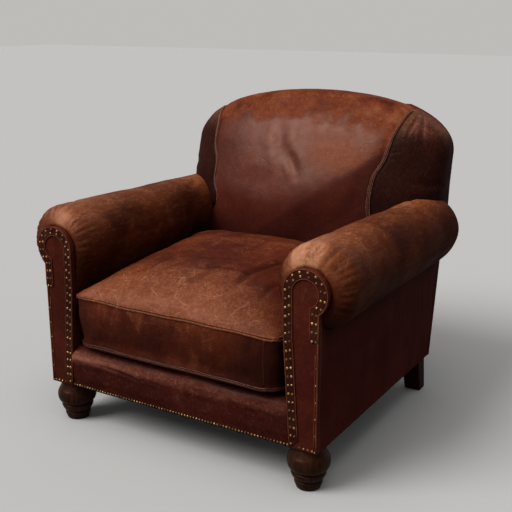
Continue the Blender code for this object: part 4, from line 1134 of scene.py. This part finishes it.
def border_grid(side, rows=120, columns=110):
    """A side border: from its seam round the side to the outside back, at each height."""
    peak = top_seam_height(side)
    tall = peak - 0.0004 - BORDER_LOW
    heights = BORDER_LOW + tall * np.sin(np.linspace(0, 1, rows) * math.pi / 2)
    grid, share = [], []
    for z in heights:
        half, middle = float(back_half(z)), float(back_middle(z))
        ahead, behind = middle - float(back_front(z)), float(back_rear(z)) - middle
        ratio = min(float(seam_x(z, side) + 0.0008) / half, 1.0)
        first = -math.acos(min(ratio ** (FRONT_POWER / 2), 1.0))
        limit = (rear_y(z, 0.0075) - middle) / behind
        last = math.asin(min(max(limit, 0.0), 1.0) ** (REAR_POWER / 2))
        turns = first + (last - first) * np.linspace(0, 1, columns)
        c, s = np.cos(turns), np.sin(turns)
        power = np.where(s < 0, FRONT_POWER, REAR_POWER)
        deep = np.where(s < 0, ahead, behind)
        x = half * np.abs(c) ** (2 / power)
        y = middle + deep * np.sign(s) * np.abs(s) ** (2 / power)
        points = np.stack([x, y], axis=1)
        length = lengths_along(points)
        even = np.linspace(0, length[-1], columns)
        x, y = np.interp(even, length, x), np.interp(even, length, y)
        grid.append(np.stack([x, y, np.full(columns, z)], axis=1))
        share.append(even)
    return np.array(grid), np.array(share), peak


def add_side_border(side, word, seed):
    grid, along, peak = border_grid(side)
    inside = (0.18, 0.66, 0.62)
    z = grid[..., 2]
    lines = [
        ([(0.045, 0.815), (0.050, 0.775), (0.066, 0.735), (0.085, 0.70)], 0.006, 0.0030),
        ([(0.022, 0.800), (0.030, 0.760), (0.034, 0.72)], 0.005, 0.0024),
        ([(0.135, 0.765), (0.165, 0.772), (0.20, 0.768)], 0.006, 0.0030),
        ([(0.09, 0.60), (0.15, 0.592), (0.21, 0.598)], 0.010, 0.0020),
    ]
    calm = smooth_step(peak - z, 0.0, 0.030)
    amount = creases(along, z, lines)
    amount += 0.0024 * lumps(grid, 7.0, seed, 2) + 0.0004 * lumps(grid, 28.0, seed, 2)
    near = smooth_step(along, 0.0, 0.012)
    chance = np.random.default_rng(seed)
    for at in np.linspace(0.66, 0.81, 11):
        deep, reach = chance.uniform(0.0008, 0.0026), chance.uniform(0.015, 0.045)
        line = z - at - chance.uniform(-0.2, 0.3) * along
        amount -= deep * np.exp(-(line / 0.0035) ** 2) * (1 - smooth_step(along, reach * 0.3, reach))
    amount = amount * near * calm - 0.004 * (1 - near)
    grid = push(grid, amount, inside)
    # The top is paler, partly from wear and partly painted light from above; below it lies painted shade,
    # deeper beside the seam and low down over the arm.
    crown = smooth_step(z, 0.690, 0.760)
    wear = 0.08 + 0.62 * crown + 0.30 * smooth_step(along, 0.12, 0.16) * smooth_step(z, 0.66, 0.74)
    shade = 0.42 * (1 - crown) + 0.3 * (1 - smooth_step(along, 0.004, 0.02))
    shade += 0.25 * smooth_step(0.60 - z, 0.0, 0.04)
    grid[..., 0] *= side
    border = grid_piece(
        f"{word}_side_border", grid, (side * 0.18, 0.66, 0.62), wall=COVER,
        wear=wear, shade=np.clip(shade, 0, 1), dull=0.9 - 0.7 * crown,
    )
    keep(border, BORDER_LEATHER, f"{word}_back_border", slot="dark_leather", pad=0.6)


def seam_line(side, offset=0.0, lift=0.0, count=110):
    """Points along a seam, from beside the arm over the top, moved sideways and outwards."""
    peak = top_seam_height(side)
    heights = np.linspace(0.50, peak - 0.001, count)
    x = seam_x(heights, side) + offset
    top = np.minimum(heights, back_top(x) - 0.0008)
    front = np.stack([x, back_y(x, top, True), top], axis=1)
    x2 = np.full(14, x[-1])
    z2 = np.linspace(float(top[-1]), float(top[-1]) - 0.010, 15)[1:]
    rear = np.stack([x2, back_y(x2, z2, False), z2], axis=1)
    line = np.concatenate([front, rear])
    away = line - np.array([0, 0.67, 0.62])
    away[:, 0] *= 0.4
    away /= np.linalg.norm(away, axis=1, keepdims=True)
    return turned(line + away * lift, side)


def add_back_seams(side, word, seed):
    line = seam_line(side, -0.003, -0.0024)
    welt = tube(f"{word}_seam_welt", line, 0.0030)
    fill_attribute(welt, "wear", lambda p: 0.25 + 0.5 * smooth_step(p[:, 2], 0.66, 0.78))
    keep(welt, BACK_LEATHER)
    rows = [seam_line(side, -0.0085, -0.0016), seam_line(side, -0.0005, -0.0004)]
    add_stitches(f"{word}_seam_stitches", rows, PALE_THREAD, 0.0058, 0.0040, 0.00055, seed)


def add_outside_back():
    turns = np.linspace(0, math.radians(50), 26)
    heights = BACK_SHOULDER + BACK_DOME * np.sin(turns)
    narrow, wide = SIDE_X - 0.001, BACK_WIDE - BACK_INSET
    flare_low, flare_high = 0.4715, 0.5715
    side = [(narrow, z) for z in np.linspace(BODY_BOTTOM, flare_low, 16)]
    side += zip(np.linspace(narrow, wide, 8)[1:], np.linspace(flare_low, flare_high, 8)[1:])
    side += [(wide, z) for z in np.linspace(flare_high, BACK_SHOULDER, 8)[1:-1]]
    side += [(float(back_half(z)) - BACK_INSET, z) for z in heights]
    side = np.array(side)
    across = np.linspace(-1, 1, 120)[None, :]
    rows = side[:, 0][:, None] * across
    z = side[:, 1][:, None] * np.ones_like(across)
    swell = 0.0065 * np.clip(1 - across ** 6, 0, 1) * np.clip(1 - (2 * (z - 0.46) / 0.72) ** 8, 0, 1)
    grid = np.stack([rows, rear_y(z, 0.0058), z], axis=2)
    grid[..., 1] += swell + 0.0012 * lumps(grid, 7.0, 21, 2) + 0.0004 * lumps(grid, 30.0, 22, 2)
    grid[..., 1] = np.minimum(grid[..., 1], rear_y(z, -0.006))
    edge = smooth_step(np.abs(across), 0.93, 1.0) * np.ones_like(z)
    top = smooth_step(z, 0.72, 0.82)
    wear = np.clip(0.06 + 0.30 * edge + 0.45 * top, 0, 1)
    shade = 0.25 * (1 - smooth_step(z, 0.15, 0.5))
    panel = grid_piece("outside_back_panel", grid, (0, 0.2, 0.45), wall=COVER, wear=wear, shade=shade)
    keep(panel, PLAIN_LEATHER, "outside_back", slot="dark_leather")
    path = np.stack([side[:, 0] - 0.001, rear_y(side[:, 1], 0.003), side[:, 1]], axis=1)
    loop = np.concatenate([path, turned(path, -1)[::-1]])
    welt = tube("outside_back_welt", loop, 0.0032)
    fill_attribute(welt, "wear", lambda p: 0.15 + 0.35 * smooth_step(p[:, 2], 0.70, 0.82))
    keep(welt, PLAIN_LEATHER)


# The cushion

def remeshed(node, name, voxel):
    """A node's solid as a clean mesh of its own, in even squares."""
    mesh = frame["nodes"][node].data.copy()
    mesh.name = name
    weld(mesh, 1e-5)
    piece = link(name, mesh)
    remesh = piece.modifiers.new("remesh", "REMESH")
    remesh.mode = "VOXEL"
    remesh.voxel_size = voxel
    return bake(piece)


def swell_cushion(piece):
    """Lets the cushion blow up a little as cloth, with the movement capped."""
    start = vectors_of(piece.data)
    cloth_step = piece.modifiers.new("cloth", "CLOTH")
    settings = cloth_step.settings
    settings.use_pressure = True
    settings.uniform_pressure_force = 4.0
    settings.effector_weights.gravity = 0.0
    settings.mass = 0.3
    settings.tension_stiffness = 20
    settings.compression_stiffness = 12
    settings.bending_stiffness = 0.6
    settings.quality = 5
    cloth_step.point_cache.frame_start = 1
    cloth_step.point_cache.frame_end = 20
    scene = bpy.context.scene
    for number in range(1, 21):
        scene.frame_set(number)
    graph = bpy.context.evaluated_depsgraph_get()
    swollen = vectors_of(piece.evaluated_get(graph).to_mesh())
    piece.evaluated_get(graph).to_mesh_clear()
    piece.modifiers.clear()
    scene.frame_set(1)
    moved = swollen - start
    size = np.linalg.norm(moved, axis=1, keepdims=True)
    moved *= np.minimum(size, 0.024) / np.maximum(size, 1e-9)
    height = (start[:, 2] - DECK_HEIGHT) / CUSHION_THICK
    weight = np.where(height > 1.0, 0.42, 0.36)[:, None] * smooth_step(height, 0.02, 0.25)[:, None]
    return start + moved * weight


def between_arms(z):
    """How far out the cushion may reach at a height, beside the arms and under their rolls."""
    roll = SIDE_X - ROLL_FROM_SIDE - np.sqrt(np.maximum(0.094 ** 2 - (z - 0.474) ** 2, 0))
    roll = np.where(z > 0.385, roll, 1.0)
    return np.minimum(facing_inner_x(z), roll) - 0.0015


def add_cushion():
    piece = remeshed("seat_cushion", "cushion_cover", 0.0075)
    low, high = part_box("seat_cushion")
    centre_x, centre_y = (low.x + high.x) / 2, (low.y + high.y) / 2 - FRONT
    half_x, half_y = (high.x - low.x) / 2, (high.y - low.y) / 2
    points = swell_cushion(piece)
    piece.data.vertices.foreach_set("co", points.ravel())
    refine = piece.modifiers.new("refine", "SUBSURF")
    refine.levels = refine.render_levels = 1
    bake(piece)
    points = vectors_of(piece.data)
    points[:, 1] -= FRONT
    x, y, z = points.T
    seam = DECK_HEIGHT + CUSHION_THICK + cushion_rise(y)
    top = smooth_step(z, seam + 0.004, seam + 0.022)
    lines = [
        ([(0.120, 0.07), (0.115, 0.17), (0.145, 0.26), (0.20, 0.33)], 0.010, 0.0042),
        ([(0.115, 0.17), (0.03, 0.16), (-0.02, 0.13)], 0.008, 0.0026),
        ([(0.145, 0.26), (0.21, 0.27), (0.27, 0.25)], 0.008, 0.0026),
        ([(-0.12, 0.10), (-0.03, 0.20), (0.05, 0.23)], 0.009, 0.0022),
        ([(-0.20, 0.06), (-0.15, 0.12), (-0.13, 0.20)], 0.008, 0.0018),
        ([(0.20, 0.06), (0.19, 0.14), (0.22, 0.22)], 0.008, 0.0022),
        ([(-0.05, 0.33), (0.05, 0.36), (0.16, 0.38)], 0.010, 0.0022),
        ([(0.02, 0.04), (0.00, 0.09), (-0.04, 0.12)], 0.007, 0.0018),
    ]
    folds = creases(x, y, lines) * top
    shaped = 1.6 * folds
    shaped += 0.0026 * lumps(points, 9.0, 31, 2) * smooth_step(z, DECK_HEIGHT + 0.01, DECK_HEIGHT + 0.04)
    shaped += 0.0010 * lumps(points, 34.0, 32, 2)
    boxing = smooth_step(z, DECK_HEIGHT + 0.02, DECK_HEIGHT + 0.04) * (1 - top)
    shaped += boxing * 0.0013 * lumps(points * np.array([1, 1, 0.3]), 40.0, 33, 2)
    points = points + vectors_of(piece.data, "normal") * shaped[:, None]
    points[:, 2] = np.maximum(points[:, 2], DECK_HEIGHT + 0.0006)
    points[:, 1] = np.clip(points[:, 1], -0.020, None)
    limit = between_arms(points[:, 2])
    points[:, 0] = np.clip(points[:, 0], -limit, limit)
    move_to(piece.data, to_frame(points))
    x, y, z = points.T
    # The front of the top is paler, partly from wear and partly a painted sheen; its right front is painted
    # darker, away from the light.
    front_wear_and_sheen = 1 - smooth_step(y, 0.05, 0.20)
    crown = smooth_step(z, seam - 0.001, seam + 0.004)
    wear = 0.24 + 0.62 * front_wear_and_sheen - 0.42 * smooth_step(x, 0.05, 0.24) * smooth_step(y, 0.0, 0.08)
    # Painted light: a lit band along the upper boxing, under the welt.
    lit = smooth_step(z, DECK_HEIGHT + 0.085, DECK_HEIGHT + 0.132) * np.exp(-((x + 0.04) / 0.13) ** 2)
    wear += 0.14 * smooth_step(y, 0.22, 0.34)
    streaks = lumps(points * np.array([1.0, 1.0, 0.35]), 32.0, 34, 3)
    wear = crown * wear + (1 - crown) * (0.12 + 0.42 * lit + 0.22 * streaks)
    # Painted shade: the lower boxing, the right side, the edges beside the arms, the rear by the back, and
    # the creases.
    upper = smooth_step(z, DECK_HEIGHT + 0.04, DECK_HEIGHT + 0.135)
    shade = 0.60 - 0.40 * upper - 0.25 * lit + 0.75 * smooth_step(x, 0.14, 0.25) - 0.20 * streaks
    shade *= 1 - crown
    shade += 0.30 * smooth_step(np.abs(x), 0.275, 0.30) * top + 0.30 * smooth_step(y, 0.44, 0.49)
    shade += 0.5 * smooth_step(-folds, 0.0006, 0.0030) * smooth_step(0.32 - y, 0.0, 0.06)
    shade += 0.42 * smooth_step(x, 0.10, 0.25) * crown
    dull = 0.88 - crown * (0.83 * front_wear_and_sheen - 0.5 * smooth_step(x, 0.10, 0.24))
    for key, array in (("wear", wear), ("shade", np.clip(shade, 0, 1)), ("dull", dull)):
        set_values(piece.data, key, array)
    keep(piece, SEAT_LEATHER, "seat_cushion", slot="worn_leather", pad=0.8)
    add_cushion_welts(piece, centre_x, centre_y, half_x, half_y)


def rounded_ring(centre_x, centre_y, half_x, half_y, radius, count=30, side_count=50):
    points = []
    for quarter, (sx, sy) in enumerate(((1, 1), (-1, 1), (-1, -1), (1, -1))):
        cx, cy = centre_x + sx * (half_x - radius), centre_y + sy * (half_y - radius)
        points += arc((cx, cy), radius, math.pi / 2 * quarter, math.pi / 2 * (quarter + 1), count).tolist()
    full = []
    for i, point in enumerate(points):
        full.append(point)
        if i % count == count - 1:
            following = points[(i + 1) % len(points)]
            full += np.linspace(point, following, side_count)[1:-1].tolist()
    return np.array(full)


def snapped(paths, piece, lift):
    """Moves points to the nearest place on a piece, and a little off its surface."""
    tree = BVHTree.FromObject(piece, bpy.context.evaluated_depsgraph_get())
    moved = []
    for point in to_frame(paths):
        spot, normal, _, _ = tree.find_nearest(Vector(point))
        moved.append(spot + normal * lift)
    moved = np.array(moved)
    moved[:, 1] -= FRONT
    return moved


def eased(path, rounds=6):
    """A closed path with its small jumps smoothed out."""
    for _ in range(rounds):
        path = (np.roll(path, 1, axis=0) + np.roll(path, -1, axis=0) + 2 * path) / 4
    return path


def cushion_rise(y):
    """How much higher the upper seam lies at a depth than at the front."""
    return CUSHION_RISE * (np.clip((y + 0.011) / 0.555, 0, 1) ** 2)


def add_cushion_welts(piece, centre_x, centre_y, half_x, half_y):
    seam = DECK_HEIGHT + CUSHION_THICK + 0.0005
    for label, height, gap, corner, climbs in (
        ("top", seam, 0.0036, 0.020, 1.0), ("bottom", DECK_HEIGHT + 0.0165, 0.0030, 0.045, 0.114),
    ):
        ring = rounded_ring(centre_x, centre_y, half_x, half_y, corner)
        count = np.arange(len(ring))
        wave = 0.0011 * np.sin(count * 0.21) + 0.0010 * np.sin(count * 0.53 + 1.0)
        wave += climbs * cushion_rise(ring[:, 1])
        for number, up in ((1, gap), (2, -gap)):
            path = np.column_stack([ring, height + up + wave])
            path = eased(snapped(path, piece, 0.0002), 3)
            welt = tube(f"cushion_{label}_welt_{number}", path, 0.0029, closed=True)
            # The upper welts are paler; the lower ones, under the cushion's bulge, get painted shade.
            fill_attribute(welt, "wear", lambda p: np.where(p[:, 2] > 0.3, 0.75, 0.0))
            fill_attribute(welt, "shade", lambda p: np.where(p[:, 2] > 0.3, 0.1, 0.85))
            keep(welt, SEAT_LEATHER)
        path = eased(snapped(np.column_stack([ring, height + wave]), piece, 0.0010), 3)
        loop = np.vstack([path, path[:1]])
        add_stitches(f"cushion_{label}_stitches", [loop], DARK_THREAD, 0.0062, 0.0042, 0.0006, 7)
    corner = [(0.258, -0.012, z) for z in np.linspace(DECK_HEIGHT + 0.024, seam - 0.008, 20)]
    seam_tube = tube("cushion_corner_seam", snapped(corner, piece, 0.0001), 0.0012)
    fill_attribute(seam_tube, "shade", lambda p: 0.6)
    keep(seam_tube, SEAT_LEATHER)


# Feet and legs

def add_foot(side, word):
    """The turned front foot, from the same profile as its solid but with rounder steps."""
    high = BODY_BOTTOM - JOINT_GAP
    profile = [(0.0, high), (0.034, high), (0.0362, high - 0.0012), (0.037, high - 0.004)]
    turns = np.radians(np.linspace(55, -55, 22))
    profile += [(0.036 + 0.0143 * math.cos(t), 0.067 + 0.022 * math.sin(t)) for t in turns]
    profile += [(0.0385, 0.0468), (0.0370, 0.0458), (0.0368, 0.0446), (0.0382, 0.0434)]
    profile += [(0.0402, 0.0422), (0.0412, 0.0400), (0.0410, 0.0370), (0.0398, 0.0335), (0.0372, 0.0285)]
    profile += [(0.0340, 0.0240), (0.0318, 0.0226), (0.0306, 0.0218), (0.0306, 0.0208), (0.0320, 0.0200)]
    profile += [(0.0330, 0.0185), (0.0330, 0.0150), (0.0320, 0.0110), (0.0300, 0.0060)]
    profile += [(0.0285, 0.0015), (0.0272, 0.0), (0.0, 0.0)]
    steps = 72
    turn = np.linspace(0, 2 * math.pi, steps, endpoint=False)
    profile = np.array(profile)
    grid = np.zeros((len(profile), steps, 3))
    grid[..., 0] = side * (SIDE_X - FOOT_IN) + profile[:, 0][:, None] * np.cos(turn)
    grid[..., 1] = FOOT_IN + profile[:, 0][:, None] * np.sin(turn)
    grid[..., 2] = profile[:, 1][:, None]
    foot = grid_piece(f"{word}_turned_foot", grid, (side * (SIDE_X - FOOT_IN), FOOT_IN, 0.055), closed=True)
    weld(foot.data, 1e-5, outwards=True)
    foot.data.set_sharp_from_angle(angle=math.radians(60))
    keep(foot, FOOT_WOOD, f"{word}_front_foot", slot="turned_wood")


def add_padding(node):
    """A foam pad: its solid with softened edges, a little smaller so that it stays under its cover."""
    pad = remeshed(node, node + "_foam", 0.009)
    soften = pad.modifiers.new("soften", "SMOOTH")
    soften.factor = 0.5
    soften.iterations = 8
    bake(pad)
    points = vectors_of(pad.data)
    points -= 0.0025 * vectors_of(pad.data, "normal")
    move_to(pad.data, points)
    keep(pad, PADDING, node, slot="padding_foam", pad=0.6)


def dress_carried_nodes():
    """Better finishes on the solids that are shown as they are."""
    finishes = {
        "rail": RAIL_WOOD, "post": RAIL_WOOD, "block": RAIL_WOOD, "spring": SPRING_WIRE,
        "webbing": JUTE, "spring_deck": BLACK_CLOTH, "dust_cover": BLACK_CLOTH, "rear_leg": LEG_WOOD,
    }
    for name, node in frame["nodes"].items():
        for word, finish in finishes.items():
            if word in name:
                node.data.materials.clear()
                node.data.materials.append(finish)


# Floor, light and camera

def backdrop_light(n, dim, pale, height=1.0):
    """Mixes two shaders: the pale one where the camera or a reflection sees it, the dim one elsewhere."""
    rays = ("Is Camera Ray", "Is Glossy Ray", "Is Transmission Ray")
    camera, glossy, through = (n.add("ShaderNodeLightPath", None, out=ray) for ray in rays)
    mirrored = n.add("ShaderNodeMath", {"operation": "MAXIMUM"}, glossy, through)
    seen = n.add("ShaderNodeMath", {"operation": "MAXIMUM"}, camera, mirrored * height * MIRRORED_SHARE)
    return n.add("ShaderNodeMixShader", None, seen, dim, pale)


def near_horizon(n):
    """1 for a direction that looks level or down, 0 from a third of the way up: the backdrop is that high."""
    way = n.add("ShaderNodeTexCoord", None, out="Generated")
    rise = n.add("ShaderNodeSeparateXYZ", None, way, out="Z")
    return n.add("ShaderNodeMapRange", None, rise, 0.05, 0.35, 1.0, 0.0)


def floor_paint():
    n = new_material("floor_paint")
    dim = n.add("ShaderNodeBsdfDiffuse", None, FLOOR_BOUNCE)
    pale = n.add("ShaderNodeBsdfDiffuse", None, FLOOR_COLOUR)
    n.show("Material Output", backdrop_light(n, dim, pale))
    n.tree.nodes.remove(n.shader)
    return n.owner


def add_stage():
    bpy.ops.mesh.primitive_plane_add(size=40, location=(0, 0, 0))
    floor = bpy.context.object
    floor.name = "floor"
    floor.data.materials.append(floor_paint())
    world = bpy.data.worlds.new("studio")
    bpy.context.scene.world = world
    n = Nodes(world)
    dim = n.add("ShaderNodeBackground", None, ROOM_COLOUR, ROOM_LIGHT)
    pale = n.add("ShaderNodeBackground", None, WALL_COLOUR, 1.0)
    n.show("World Output", backdrop_light(n, dim, pale, near_horizon(n)))


def towards(azimuth, elevation):
    """The way from the chair to something seen that far round from the front and that far up, in degrees."""
    turn, rise = math.radians(azimuth), math.radians(elevation)
    return Vector((math.sin(turn) * math.cos(rise), -math.cos(turn) * math.cos(rise), math.sin(rise)))


def add_sun(name, place, width, strength):
    """A softbox so far off that it lights floor and chair alike; its width is in degrees."""
    lamp = bpy.data.lights.new(name, "SUN")
    lamp.angle = math.radians(width)
    lamp.energy = strength
    holder = link(name, lamp)
    holder.rotation_euler = towards(*place).to_track_quat("Z", "Y").to_euler()
    return holder


def add_lights_and_camera():
    add_sun("key_softbox", KEY_FROM, KEY_WIDTH, KEY_STRENGTH)
    add_sun("top_softbox", TOP_FROM, TOP_WIDTH, TOP_STRENGTH).visible_glossy = False
    camera = bpy.data.cameras.new("photo_camera")
    camera.lens = CAMERA_LENS
    camera.sensor_width = 36
    camera.clip_end = 60
    holder = link("photo_camera", camera)
    holder.location = CAMERA_AT
    back = Vector((
        math.sin(CAMERA_AZIMUTH) * math.cos(CAMERA_ELEVATION),
        -math.cos(CAMERA_AZIMUTH) * math.cos(CAMERA_ELEVATION),
        math.sin(CAMERA_ELEVATION),
    ))
    holder.rotation_euler = (-back).to_track_quat("-Z", "Y").to_euler()
    bpy.context.scene.camera = holder
    bpy.context.scene.view_settings.view_transform = "Standard"


add_lights_and_camera()
add_stage()
for side, word, seed in ((-1, "left", 60), (1, "right", 80)):
    add_arm(side, word, seed)
    add_outside_arm(side, word, seed + 1)
    add_facing(side, word, seed + 2)
    add_side_border(side, word, seed + 5)
    add_back_seams(side, word, seed + 6)
    add_foot(side, word)
add_front_border()
add_inside_back()
add_outside_back()
add_cushion()
for pad in ("left_arm_padding", "right_arm_padding", "back_padding"):
    add_padding(pad)
dress_carried_nodes()
